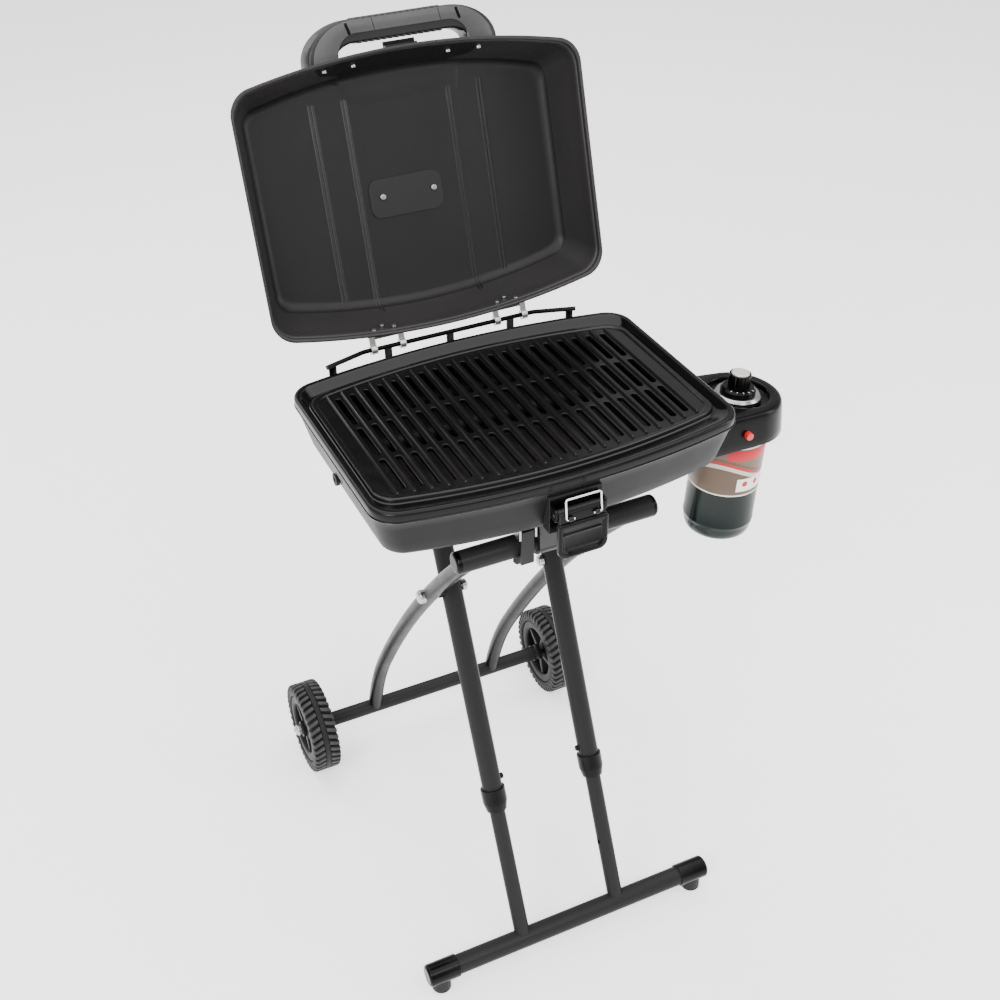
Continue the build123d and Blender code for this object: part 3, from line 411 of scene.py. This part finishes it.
def lathe(profile, base, axis, turns=64):
    """Verts and faces of a profile of (radius, along) points turned round an axis."""
    axis = Vector(axis).normalized()
    side = axis.orthogonal().normalized()
    other = axis.cross(side)
    loops = []
    for radius, along in profile:
        ring = []
        for i in range(turns):
            turn = 2 * pi * i / turns
            ring.append(Vector(base) + axis * along + (side * cos(turn) + other * sin(turn)) * radius)
        loops.append(ring)
    return skin(loops, cap_first=True, cap_last=True)


def joined(parts):
    """Several (verts, faces) sets as one."""
    verts, faces = [], []
    for more_verts, more_faces in parts:
        start = len(verts)
        verts += more_verts
        faces += [tuple(start + i for i in face) for face in more_faces]
    return verts, faces


def strip(start, end, half, rise, up, turns=10):
    """A raised stripe with round ends lying on a plane, domed across."""
    start, end, up = Vector(start), Vector(end), Vector(up).normalized()
    along = (end - start).normalized()
    side = along.cross(up)
    loops = []
    for share, lift in ((1.0, -0.4), (0.92, 0.45), (0.7, 0.8), (0.35, 1.0)):
        ring = []
        for centre, sign in ((end, 1), (start, -1)):
            for i in range(turns + 1):
                turn = pi * i / turns
                ring.append(centre + (side * cos(turn) + along * sin(turn)) * sign * half * share
                            + up * rise * lift)
        loops.append(ring)
    return skin(loops, cap_first=True, cap_last=True)


# --- Pan ---------------------------------------------------------------------------------------

def pan():
    """Pan wall with its rounded foot, the rolled rim band, and the ledge that holds the grate."""
    profile = [(25, 742), (20.5, 742.6), (17.2, 744.4), (14.9, 747.2), (WALL_TAPER, 751)]
    sheet = 2
    loops = [outline(inset, z) for inset, z in profile]
    loops += [outline(WALL_TAPER * (BAND_Z - z) / WALL_DEPTH, z) for z in (764, 777, 790, BAND_Z)]
    loops += [outline(sheet + WALL_TAPER * (BAND_Z - z) / WALL_DEPTH, z) for z in (BAND_Z, 790, 777, 764, 753)]
    loops += [outline(19, 747), outline(24, 744.5)]
    verts, faces = skin(loops, cap_first=True, cap_last=True)
    piece("pan_wall", mesh_from("pan_wall", verts, faces), "pan", "pan", True)

    ring = [(0.8, 801.8), (-1.4, 801.9), (-2.3, 802.5), (-2.6, 803.4), (-2.2, 804.3), (-1.5, 804.7),
            (-1.5, 805.2), (-1.9, 805.6), (-2, 808), (-2, 811.6), (-1.7, 813.6), (-0.9, 815.0),
            (0.4, 815.8), (1.8, 816), (3.6, 816), (4.6, 815.7), (5, 815), (5, 803)]
    loops = [outline(inset, z) for inset, z in ring]
    verts, faces = skin(loops, closed=True)
    piece("rim_band_finished", mesh_from("rim_band", verts, faces), "rim_band", "band", True)

    ring = [(5.05, 815.2), (5.6, 814.6), (8, 811), (10.4, 807.7), (11.2, 807.0), (11.7, 807.3),
            (12.2, 807.6), (12.7, 807.2), (12.9, 806.4), (12.9, 800.5), (18, 800), (18, 799),
            (11, 799), (11, 804), (5.05, 808)]
    loops = [well(inset, z) for inset, z in ring]
    verts, faces = skin(loops, closed=True)
    piece("ledge_finished", mesh_from("ledge", verts, faces), "inner_frame", "ledge", True)


def grate():
    """Cast plate with raised ridges front to back and pill-shaped slots between them."""
    curve = bpy.data.curves.new("grate_plate", "CURVE")
    curve.dimensions = "2D"
    curve.fill_mode = "BOTH"
    curve.extrude = 0.002
    curve.bevel_depth = 0.0008
    curve.bevel_resolution = 2

    def add(points):
        spline = curve.splines.new("POLY")
        spline.points.add(len(points) - 1)
        for slot_point, point in zip(spline.points, points):
            place = at(point)
            slot_point.co = (place.x, place.y, 0, 1)
        spline.use_cyclic_u = True

    add([Vector((p.x, p.y, 0)) for p in outline(GRATE_INSET + 1.6, 0, GRATE_FRONT, GRATE_REAR)])
    ridges = []
    last = 10

    def ends(x, margin):
        """The nearest and farthest y of the plate at x, less a margin."""
        share = bow_share(x)
        return (PAN_FRONT + GRATE_INSET + GRATE_FRONT - BOW_FRONT * share + margin,
                PAN_BACK - GRATE_INSET - GRATE_REAR + BOW_BACK * share - margin)

    slot_half = 4.6
    bridge = 4
    for index in range(-last, last + 1):
        x = index * GRATE_PITCH
        near, far = ends(x, 16)
        ridges.append(strip((x, near, GRATE_TOP - 1.6), (x, far, GRATE_TOP - 1.6), 2.4, 3.0, (0, 0, 1), 6))
        if index == last:
            continue
        middle = x + GRATE_PITCH / 2
        near, far = ends(middle, 20)
        breaks = [near, near + (far - near) * 0.34, near + (far - near) * 0.67, far]
        for low, high in zip(breaks, breaks[1:]):
            low += bridge + slot_half
            high -= bridge + slot_half
            turns = [pi * i / 8 for i in range(9)]
            pill = [(middle + slot_half * cos(turn), high + slot_half * sin(turn)) for turn in turns]
            pill += [(middle - slot_half * cos(turn), low - slot_half * sin(turn)) for turn in turns]
            add([Vector((px, py, 0)) for px, py in pill])
    shown = bpy.data.objects.new("grate_curve", curve)
    bpy.context.scene.collection.objects.link(shown)
    bpy.context.view_layer.update()
    plate = bpy.data.meshes.new_from_object(shown.evaluated_get(bpy.context.evaluated_depsgraph_get()))
    bpy.data.objects.remove(shown)
    plate.transform(Matrix.Translation((0, 0, (GRATE_TOP - 4.4) / 1000)))
    shape = bmesh.new()
    shape.from_mesh(plate)
    verts, faces = joined(ridges)
    shape.from_mesh(mesh_from("ridges", verts, faces))
    loops = [outline(GRATE_INSET + inset, z, GRATE_FRONT, GRATE_REAR)
             for inset, z in ((0.2, 802.2), (0.2, 809.6), (0.8, 810.8), (2.2, 811.4), (6, 811.2), (8, 810),
                              (8.5, 806), (5, 802.2))]
    verts, faces = skin(loops, closed=True)
    shape.from_mesh(mesh_from("border", verts, faces))
    whole = bpy.data.meshes.new("grate_cast")
    shape.to_mesh(whole)
    shape.free()
    piece("grate_cast", whole, "grate", "grate", True, smooth=35)


# --- Lid ---------------------------------------------------------------------------------------

def rib(x, inner):
    """An embossed line inside the lid: along the ceiling, then down the blend to the back wall."""
    ceiling = inner[0][1]
    path = [Vector((x, -160, ceiling + 0.4)), Vector((x, -156, ceiling))]
    path += [Vector((x, y, ceiling)) for y in (-100, -40, 20)]
    for inset, z in inner[:10]:
        path.append(Vector((x, PAN_BACK - inset + BOW_BACK * bow_share(x), z)))
    half = 1.5
    section = ((-1, 1.5, 0), (-1, 0.8, 0.8), (0, 0, 1.0), (1, 0.8, 0.8), (1, 1.5, 0))
    loops = []
    for index, point in enumerate(path):
        ahead = path[min(index + 1, len(path) - 1)] - path[max(index - 1, 0)]
        out = Vector((1, 0, 0)).cross(ahead).normalized()
        if out.z > 0:
            out = -out
        rise = 0.0 if index in (0, len(path) - 1) else 1.3
        loops.append([point + Vector((side * half * wide, 0, 0)) + out * (rise * lift - 0.3)
                      for side, wide, lift in section])
    return skin(loops, cap_first=True, cap_last=True)


def lid():
    """Pressed lid with embossed ribs, its walls drawn paler as painted light, and everything fixed to it."""
    outer = []
    for z in (0.0, 1.0, 14, 28, 42):
        outer.append((LID_TAPER * z / LID_DEPTH, LID_Z + z))
    turn = 11.0
    start_inset = LID_TAPER * (LID_DEPTH - turn) / LID_DEPTH
    for i in range(9):
        a = pi / 2 * i / 8
        outer.append((start_inset + (LID_TAPER * turn / LID_DEPTH) * sin(a) * 0.9 + turn * (1 - cos(a)) * 0.85,
                      LID_Z + LID_DEPTH - turn + turn * sin(a)))
    sheet = 2.0
    inner = []
    for inset, z in reversed(outer[2:]):
        inner.append((inset + sheet * 1.05, z - sheet * (0.35 + 0.65 * (z - LID_Z) / LID_DEPTH)))
    inner += [(6.4, LID_Z + 8.0), (5.2, LID_Z + 6.6), (4.4, LID_Z + 6.0), (4.2, LID_Z + 1.4),
              (3.4, LID_Z + 0.2), (2.2, LID_Z - 0.4), (0.8, LID_Z - 0.4)]
    loops = [outline(inset, z) for inset, z in reversed(outer)]
    loops += [outline(inset, z) for inset, z in reversed(inner)]
    parts = [skin(loops, cap_first=True, cap_last=True)]
    for x, half in ((-116, 2.6), (-72, 2.2), (72, 2.2), (116, 2.6)):
        for side in (-1, 1):
            parts.append(rib(x + side * half, inner))
    verts, faces = joined(parts)
    pressing = mesh_from("lid_pressing", verts, faces, opened)
    piece("lid_pressing", pressing, "lid_shell", "lid", True, smooth=50)
    # Painted light: the lip and side walls, up to where the ceiling turns, get the paler wall material so they
    # read lighter than the ceiling.
    pressing.materials.append(LOOK["lid_wall_painted_light"])
    around = len(loops[0])
    rim_loops = 8
    for index in range(len(outer) * around, (len(outer) + len(inner) - rim_loops) * around):
        pressing.polygons[index].material_index = 1
    softened("badge_plate", 0.7, "lid")
    softened("hinge_brackets", 0.5)
    softened("hinge_rivets", 0.5)
    softened("lid_screws", 0.4)
    softened("lid_catch", 0.3, "plastic")
    handle()
    handle_pad(inner)


def arch(edge_y, middle_x, base_y, wide, tall, count=14):
    """Half of the handle's outline, from its foot at +x round to the middle of the grip."""
    points = [(middle_x + wide, base_y + 10)]
    for i in range(count + 1):
        turn = pi / 2 * i / count
        points.append((middle_x + wide * cos(turn), base_y - tall * sin(turn)))
    points += [(middle_x * share, edge_y) for share in (0.66, 0.33)]
    return points


def handle_loop(outer, inner):
    """The handle as one closed ring of points: outer edge from right to left, then back inside."""
    right = outer + [(0, outer[-1][1])]
    left = [(-x, y) for x, y in reversed(outer)]
    back = [(-x, y) for x, y in inner] + [(0, inner[-1][1])]
    front = [(x, y) for x, y in reversed(inner)]
    return right + left + back + front


def moulded_arch(outer, inner, levels):
    """An arch extruded through levels of (height, shrink), its two feet meeting the lid's wall."""

    def foot(x, z):
        wall = PAN_FRONT - BOW_FRONT * bow_share(x)
        return wall + LID_TAPER * (z - LID_Z) / LID_DEPTH + 0.8

    loops = []
    for z, shrink in levels:
        grown = [(x - shrink, y + shrink) for x, y in outer]
        thin = [(x + shrink, y - shrink) for x, y in inner]
        grown[0] = (grown[0][0], foot(grown[0][0], z))
        thin[0] = (thin[0][0], foot(thin[0][0], z))
        loops.append([Vector((x, y, z)) for x, y in handle_loop(grown, thin)])
    count = len(loops[0])
    verts, faces = skin(loops)
    half = count // 2
    for start in (0, len(verts) - count):
        for i in range(half - 1):
            faces.append((start + i, start + i + 1, start + count - 2 - i, start + count - 1 - i))
    return verts, faces


def handle():
    """Carry handle: round-shouldered casing, grey face plate, grip ridges, slots and joint lines."""
    low = LID_Z + 10
    high = LID_Z + 48
    nose = FRONT - 38
    outer = arch(nose, 62, FRONT + 8, 64, 46)
    hole = arch(FRONT - 10, 62, FRONT + 6, 26, 16)
    levels = ((low, 3.2), (low + 0.8, 1.6), (low + 3, 0), (high - 5, 0), (high - 1.6, 1.6), (high, 5))
    parts = [moulded_arch(outer, hole, levels)]
    for k in range(14):
        x = -55 + 8.2 * k
        for y, size in ((nose + 1.6, 2.9), (FRONT - 10.6, 2.2)):
            profile = [(size * 0.6, low + 1.2), (size, low + 2.2), (size, high - 4), (size * 0.6, high - 3)]
            parts.append(lathe(profile, (x, y, 0), (0, 0, 1), 12))
    verts, faces = joined(parts)
    piece("handle_moulding", mesh_from("handle_moulding", verts, faces, opened), "handle_casing", "casing",
          True, smooth=45)
    outer = arch(nose + 1.6, 61, FRONT + 8, 58, 44.4)
    hole = arch(FRONT - 21, 61, FRONT + 5, 26, 26)
    levels = ((low - 2.6, 0.8), (low - 2.2, 0.2), (low - 1, 0), (low + 2.5, 0))
    verts, faces = moulded_arch(outer, hole, levels)
    piece("face_plate", mesh_from("face_plate", verts, faces, opened), "handle_face", "grey_plastic", True,
          smooth=40)
    marks = []
    down = (0, 0, -1)
    for x in (-38, 50):
        marks.append(strip((x, nose + 2.5, low - 2.55), (x + 2, FRONT - 21.8, low - 2.55), 0.45, 0.14, down, 4))
    for x in (-72, 74):
        marks.append(strip((x, nose + 5.5, low - 2.5), (x + 3, nose + 16.5, low - 2.5), 2.1, 0.3, down, 8))
    verts, faces = joined(marks)
    piece("face_lines", mesh_from("face_lines", verts, faces, opened), "handle_face", "plastic")


def handle_pad(inner):
    """Stiffening pad pressed into the front wall inside the lid, where the handle is screwed on."""
    rows = list(reversed(inner[:-6]))
    ceiling_y = -147.0
    ceiling_rows = 3
    top_inset, top_z = inner[0]
    loops = []
    count = len(rows) + ceiling_rows
    steps = 30
    for index in range(count):
        share = index / (count - 1)
        left = -126 + 60 * share
        right = 110 - 23 * share
        line = []
        for k in range(steps + 1):
            x = left + (right - left) * k / steps
            bow = BOW_FRONT * bow_share(x)
            if index < len(rows):
                inset, z = rows[index]
                y = PAN_FRONT + inset - bow
            else:
                start = PAN_FRONT + top_inset - bow
                y = start + (ceiling_y - start) * (index - len(rows) + 1) / ceiling_rows
                z = top_z
            raised = 0.0 if index in (0, count - 1) or k in (0, steps) else 1.0
            sunk = 0.3 * (1 - raised)
            slope = 1 - min(1.0, max(0.0, (z - LID_Z) / LID_DEPTH))
            line.append(Vector((x, y + 1.4 * raised * slope - sunk, z - 1.3 * raised * (1 - slope) + sunk)))
        loops.append(line)
    verts = [v for line in loops for v in line]
    faces = []
    for r in range(count - 1):
        for k in range(steps):
            a = r * (steps + 1) + k
            faces.append((a, a + 1, a + steps + 2, a + steps + 1))
    mesh = mesh_from("handle_pad", verts, faces, opened)
    piece("handle_pad", mesh, "lid_shell", "lid", smooth=60)


# --- Gas side ----------------------------------------------------------------------------------

def arm_ring(grow, z, angles):
    """The arm's plan at a height, as points at given angles round the regulator's axis.

    Its end is round, its sides run tangent from there to the root, and it stops at the pan's wall.
    """
    radius = ARM_R + grow
    root = ARM.x - (PAN_HALF - 14.0 * max(0, BAND_Z - z) / 60.0) + 1.5
    half = ARM_ROOT_HALF + grow
    touch = atan2(half, -ARM_LENGTH) - acos(radius / hypot(ARM_LENGTH, half))
    ring = []
    for angle in angles:
        size = abs(angle)
        reach = radius
        if size > touch:
            reach = radius / max(0.25, cos(size - touch))
        if cos(size) < 0:
            reach = min(reach, root / -cos(size))
        ring.append(Vector((ARM.x + reach * cos(angle), ARM.y + reach * sin(angle), z)))
    return ring


def gas_arm():
    """Hood over the regulator with its sunk dial seat, and the regulator's own pieces."""
    count = 144
    angles = [-pi + 2 * pi * (i + 0.5) / count for i in range(count)]
    deck = ARM.z
    profile = [(-3, deck - 45), (0, deck - 45), (0.3, deck - 44), (-0.9, deck - 34), (-3.2, deck - 16),
               (-4.6, deck - 8), (-5.4, deck - 4.6), (-6.8, deck - 2.2), (-9, deck - 0.7), (-12, deck)]
    loops = [arm_ring(grow, z, angles) for grow, z in profile]
    for radius, z in ((44.5, deck), (42.4, deck - 0.5), (41.2, deck - 2.0), (41, deck - 7.6), (40, deck - 8.2),
                      (21, deck - 8.2), (20.4, deck - 9), (20.4, deck - 11), (43, deck - 11), (44, deck - 3)):
        loops.append([Vector((ARM.x + radius * cos(a), ARM.y + radius * sin(a), z)) for a in angles])
    loops += [arm_ring(grow, z, angles) for grow, z in ((-12, deck - 3), (-9.5, deck - 6), (-6.5, deck - 20))]
    verts, faces = skin(loops, closed=True)
    piece("gas_arm_hood", mesh_from("gas_arm_hood", verts, faces, leaned), "gas_shroud", "plastic", True,
          smooth=42)
    softened("regulator_disc", 0.6, "turned")
    softened("regulator_body", 0.5, "brass")
    softened("control_knob", 0.5, "plastic", 25)
    softened("knob_cap", 0.3, "silver")
    softened("igniter_button", 0.6, "red")
    marks = []
    for k in range(5):
        turn = radians(-150 + 22 * k)
        out = Vector((cos(turn), sin(turn), 0))
        centre = ARM + out * 20.6 + Vector((0, 0, 9.05))
        marks.append(strip(centre - out, centre + out, 0.55, 0.12, (0, 0, 1), 4))
    verts, faces = joined(marks)
    piece("flange_marks", mesh_from("flange_marks", verts, faces, leaned), "control_knob", "mark")


def cylinder():
    """Gas cylinder with a rolled foot and domed shoulder, and the printed film round it."""
    foot = CYLINDER_FOOT
    profile = [(30, foot + 12), (33.4, foot + 10), (34, foot + 1), (36, foot), (40, foot + 0.2), (43, foot + 3),
               (45.2, foot + 8), (46.4, foot + 14), (46.9, foot + 19.4), (47.5, foot + 20.4), (47.5, foot + 22),
               (47, foot + 23), (47, foot + 72), (47, foot + 110), (47, foot + 147.5), (46.2, foot + 154),
               (43.2, foot + 161), (37, foot + 167.6), (28, foot + 172.4), (18, foot + 175.4), (14, foot + 176)]
    verts, faces = lathe(profile, (ARM.x, ARM.y, 0), (0, 0, 1), 96)
    piece("can_pressing", mesh_from("can_pressing", verts, faces, leaned), "cylinder_can", "green", True,
          smooth=35)
    turns = 96
    rows = [(47.15, LABEL_LOW), (47.4, 73.3), (47.4, 90), (47.4, 110), (47.4, 130), (47.4, 146.7),
            (47.15, LABEL_LOW + LABEL_TALL)]
    verts = []
    faces = []
    for radius, up in rows:
        for i in range(turns):
            a = 2 * pi * i / turns
            verts.append(Vector((ARM.x + radius * cos(a), ARM.y + radius * sin(a), foot + up)))
    for row in range(len(rows) - 1):
        for i in range(turns):
            j = (i + 1) % turns
            faces.append((row * turns + i, row * turns + j, (row + 1) * turns + j, (row + 1) * turns + i))
    film = bpy.data.meshes.new("label_film")
    film.from_pydata([at(leaned(v)) for v in verts], [], faces)
    layer = film.uv_layers.new(name="wrap")
    for index, polygon in enumerate(film.polygons):
        row, i = divmod(index, turns)
        ups = [(rows[row + step][1] - LABEL_LOW) / LABEL_TALL for step in (0, 1)]
        for loop, (du, v) in zip(polygon.loop_indices, ((0, 0), (1, 0), (1, 1), (0, 1))):
            layer.data[loop].uv = ((i + du) / turns, ups[v])
    piece("label_wrap", film, "cylinder_label", "label", True)


# --- Wheels ------------------------------------------------------------------------------------

def spoke_point(base, radius, angle, along):
    """A point by radius and angle round the axle, and how far along it."""
    return base + Vector((along, radius * cos(angle), radius * sin(angle)))


def turned_ring(base, profile, turns=120):
    """A closed profile of (radius, along) points turned round the axle."""
    return skin([[spoke_point(base, radius, 2 * pi * i / turns, along) for i in range(turns)]
                 for radius, along in profile], closed=True)


def wheel(side):
    """One wheel: tyre with a middle tread band and side lugs, hub with five ribs a side."""
    name = "right" if side > 0 else "left"
    base = Vector((side * WHEEL_X, AXLE.y, AXLE.z))
    half = WHEEL_W / 2
    band = half * 0.2
    profile = [(56, -half + 1.5), (58.5, -half), (60, -half), (66.5, -half + 0.6), (68.6, -half + 2.2),
               (69.6, -half + 4), (70, -band - 0.8), (73.6, -band), (74.2, -band + 1), (74.2, band - 1),
               (73.6, band), (70, band + 0.8), (69.6, half - 4), (68.6, half - 2.2), (66.5, half - 0.6),
               (60, half), (58.5, half), (56, half - 1.5), (55.2, 0)]
    parts = [turned_ring(base, profile)]
    lugs = 40
    wide = 2 * pi / lugs * 0.31
    stations = ((band + 0.6, 69, 74.4, 0.0), (half - 4.5, 69, 74.4, 0.055), (half - 1.6, 67, 73.4, 0.07),
                (half + 0.1, 61.5, 70.8, 0.075))
    for flank in (-1, 1):
        for k in range(lugs):
            start = 2 * pi * (k + (0.25 if flank > 0 else -0.25)) / lugs
            rings = []
            for along, low, high, slip in stations:
                corners = ((low, -wide), (low, wide), (high, wide * 0.82), (high, -wide * 0.82))
                rings.append([spoke_point(base, radius, start + angle + slip, along * flank)
                              for radius, angle in corners])
            parts.append(skin(rings, cap_first=True, cap_last=True))
    verts, faces = joined(parts)
    piece("tyre_" + name, mesh_from("tyre_" + name, verts, faces), "wheel_tyre_" + name, "tread", True,
          bevel=0.5, segments=1, smooth=40)

    face = half - 2.5
    profile = [(55.1, -face), (54, -face - 0.8), (46, -face - 0.8), (43, -face + 0.5), (41.5, -face + 3),
               (41, -5), (40, -3), (14, -3), (13.6, -4), (13.2, -half + 0.4), (12, -half), (5.2, -half),
               (4.2, -half + 1), (4.2, half - 1), (5.2, half), (12, half), (13.2, half - 0.4), (13.6, 4),
               (14, 3), (40, 3), (41, 5), (41.5, face - 3), (43, face - 0.5), (46, face + 0.8),
               (54, face + 0.8), (55.1, face)]
    parts = [turned_ring(base, profile)]
    ribs = 5
    for k in range(ribs):
        a = 2 * pi * (k + 0.5) / ribs
        out = Vector((0, cos(a), sin(a)))
        cross = Vector((0, -sin(a), cos(a)))
        for flank in (-1, 1):
            rings = []
            for lift, thin in ((2.0, 1.0), (face - 4.0, 0.8), (face - 3.0, 0.55)):
                rings.append([base + out * reach + cross * wide * thin + Vector((flank * lift, 0, 0))
                              for reach, wide in ((10, 6.0), (10, -6.0), (42.5, -4.0), (42.5, 4.0))])
            parts.append(skin(rings, cap_first=True, cap_last=True))
    verts, faces = joined(parts)
    piece("hub_" + name, mesh_from("hub_" + name, verts, faces), "wheel_hub_" + name, "wheel", True,
          bevel=0.6, segments=2, smooth=40)


# --- Latch -------------------------------------------------------------------------------------

def plate_loop(half, low, high, bottom, top, y, steps=8):
    """Rounded plate outline in the x-z plane at a depth, about the latch's middle."""
    points = []
    corners = ((half - top, high - top, top, 0), (-half + top, high - top, top, 90),
               (-half + bottom, low + bottom, bottom, 180), (half - bottom, low + bottom, bottom, 270))
    for cx, cz, r, start in corners:
        for i in range(steps + 1):
            turn = radians(start + 90 * i / steps)
            points.append(Vector((LATCH_X + cx + r * cos(turn), y, cz + r * sin(turn))))
    return points


def latch_lever():
    """Pull lever: flap with a raised frame round a shallow recess, hinge barrel and bail lugs."""
    pin = Vector((LATCH_X, FRONT - 13, 779))
    low, high = 722.0, pin.z - 9
    y = pin.y
    flap = ((31.2, 0.8, 5), (32, 0, 5.8), (32, 0, 10.4), (31.4, 0.6, 11.2), (30.2, 1.8, 11.6),
            (27.6, 4.4, 11.6), (26.6, 5.4, 11), (26, 6, 10), (25.4, 6.6, 9.4))
    loops = [plate_loop(half, low + cut, high - cut, 11, 3, y - out) for half, cut, out in flap]
    parts = [skin(loops, cap_first=True, cap_last=True)]
    neck = ((29.4, 0, 3), (29.4, 0, 8.2), (29, 0.6, 8.9), (28, 1.6, 9.1))
    loops = [plate_loop(half, high - 3, pin.z + 5 - cut, 1, 1, y - out) for half, cut, out in neck]
    parts.append(skin(loops, cap_first=True, cap_last=True))
    parts.append(lathe([(5.4, -29.5), (6, -28.9), (6, 28.9), (5.4, 29.5)], pin, (1, 0, 0), 32))
    face = y - 9.3
    for reach, z, half, rise in ((23, 754, 1.6, 1.3), (19, 734, 2.0, 1.8)):
        parts.append(strip((LATCH_X - reach, face, z), (LATCH_X + reach, face, z), half, rise, (0, -1, 0), 6))
    for side in (-1, 1):
        x = LATCH_X + side * 17
        lug = [(2.6, -3), (3, -2.6), (3, 2.6), (2.6, 3)]
        parts.append(lathe(lug, (x, y - 11.3, pin.z - 2), (1, 0, 0), 20))
    verts, faces = joined(parts)
    piece("lever_moulding", mesh_from("lever_moulding", verts, faces), "latch_lever", "plastic", True,
          smooth=40)


# --- Everything --------------------------------------------------------------------------------

BURNT = ("burner_tube", "burner_supports", "venturi_tube", "drip_tray")
for node_name, cad in frame["nodes"].items():
    look = LOOK["burnt" if node_name in BURNT else MATERIAL_OF_SLOT[SLOT_OF_NODE[node_name]]]
    if not cad.material_slots:
        cad.data.materials.append(look)
    for material_slot in cad.material_slots:
        material_slot.material = look

pan()
grate()
lid()
gas_arm()
cylinder()
wheel(-1)
wheel(1)
latch_lever()
for node_name, rounding in (("latch_base", 0.8), ("bar_bracket", 0.8), ("leg_collars", 0.6),
                            ("foot_caps", 0.6), ("foot_pads", 0.6), ("bar_caps", 0.5), ("cap_nuts", 0.5),
                            ("pivot_bolts", 0.5), ("pivot_spacers", 0.5), ("stand_hook", 0.8),
                            ("leg_saddles", 0.6), ("hook_mount", 0.3)):
    softened(node_name, rounding)
softened("rail_tabs", 0.3, "tube")


# --- Floor, light and camera -------------------------------------------------------------------

def stage_floor():
    """A pale floor that glows a little, so that it reads as a studio sweep."""
    made = bpy.data.meshes.new("floor")
    size = 14.0
    corners = [(-size, -size, 0), (size, -size, 0), (size, size, 0), (-size, size, 0)]
    made.from_pydata(corners, [], [(0, 1, 2, 3)])
    floor = bpy.data.objects.new("floor", made)
    bpy.context.scene.collection.objects.link(floor)
    paint = surface("floor_paint", (0.88, 0.88, 0.88), 0.8, mottle=0.01, bump=0.0, specular=0.05)
    glow = paint.node_tree.nodes["Principled BSDF"]
    glow.inputs["Emission Color"].default_value = (1, 1, 1, 1)
    glow.inputs["Emission Strength"].default_value = 1.0
    made.materials.append(paint)


def lamp(name, place, target, size, power, tall=None):
    """An area lamp in metres, turned to its target; tall makes it a rectangle."""
    data = bpy.data.lights.new(name, "AREA")
    data.energy = power
    data.size = size
    if tall:
        data.shape = "RECTANGLE"
        data.size_y = tall
    made = bpy.data.objects.new(name, data)
    made.location = place
    made.rotation_euler = (Vector(target) - Vector(place)).to_track_quat("-Z", "Y").to_euler()
    bpy.context.scene.collection.objects.link(made)


def lights():
    """White surroundings and five soft lamps."""
    world = bpy.data.worlds.new("soft_white")
    world.use_nodes = True
    world.node_tree.nodes["Background"].inputs["Color"].default_value = (1, 1, 1, 1)
    world.node_tree.nodes["Background"].inputs["Strength"].default_value = 0.78
    bpy.context.scene.world = world
    lamp("key", (-2.2, -1.8, 2.4), (0, 0.1, 0.9), 1.3, 90, 1.8)
    lamp("front", (0.4, -2.6, 3.0), (0, 0.1, 0.9), 1.6, 45, 1.2)
    lamp("fill", (2.6, -1.4, 1.6), (0, 0, 0.6), 1.0, 40, 2.0)
    lamp("top", (0.1, 0.6, 4.2), (0, 0.3, 0), 5.0, 260)
    lamp("rim", (-1.2, 2.4, 2.0), (0, 0, 0.8), 1.0, 20, 1.6)


def camera():
    """The camera: a direction over the ground, then a dip, then a slight roll about the view."""
    flat = cos(CAMERA_PITCH)
    forward = Vector((sin(CAMERA_YAW) * flat, cos(CAMERA_YAW) * flat, -sin(CAMERA_PITCH)))
    right = Vector((cos(CAMERA_YAW), -sin(CAMERA_YAW), 0))
    up = right.cross(forward)
    rolled_right = right * cos(CAMERA_ROLL) + up * sin(CAMERA_ROLL)
    rolled_up = up * cos(CAMERA_ROLL) - right * sin(CAMERA_ROLL)
    data = bpy.data.cameras.new("photo_view")
    data.sensor_width = 36.0
    data.lens = CAMERA_LENS
    made = bpy.data.objects.new("photo_view", data)
    turn = Matrix((rolled_right, rolled_up, -forward)).transposed().to_4x4()
    made.matrix_world = Matrix.Translation(at(CAMERA_PLACE)) @ turn
    bpy.context.scene.collection.objects.link(made)
    bpy.context.scene.camera = made


stage_floor()
lights()
camera()
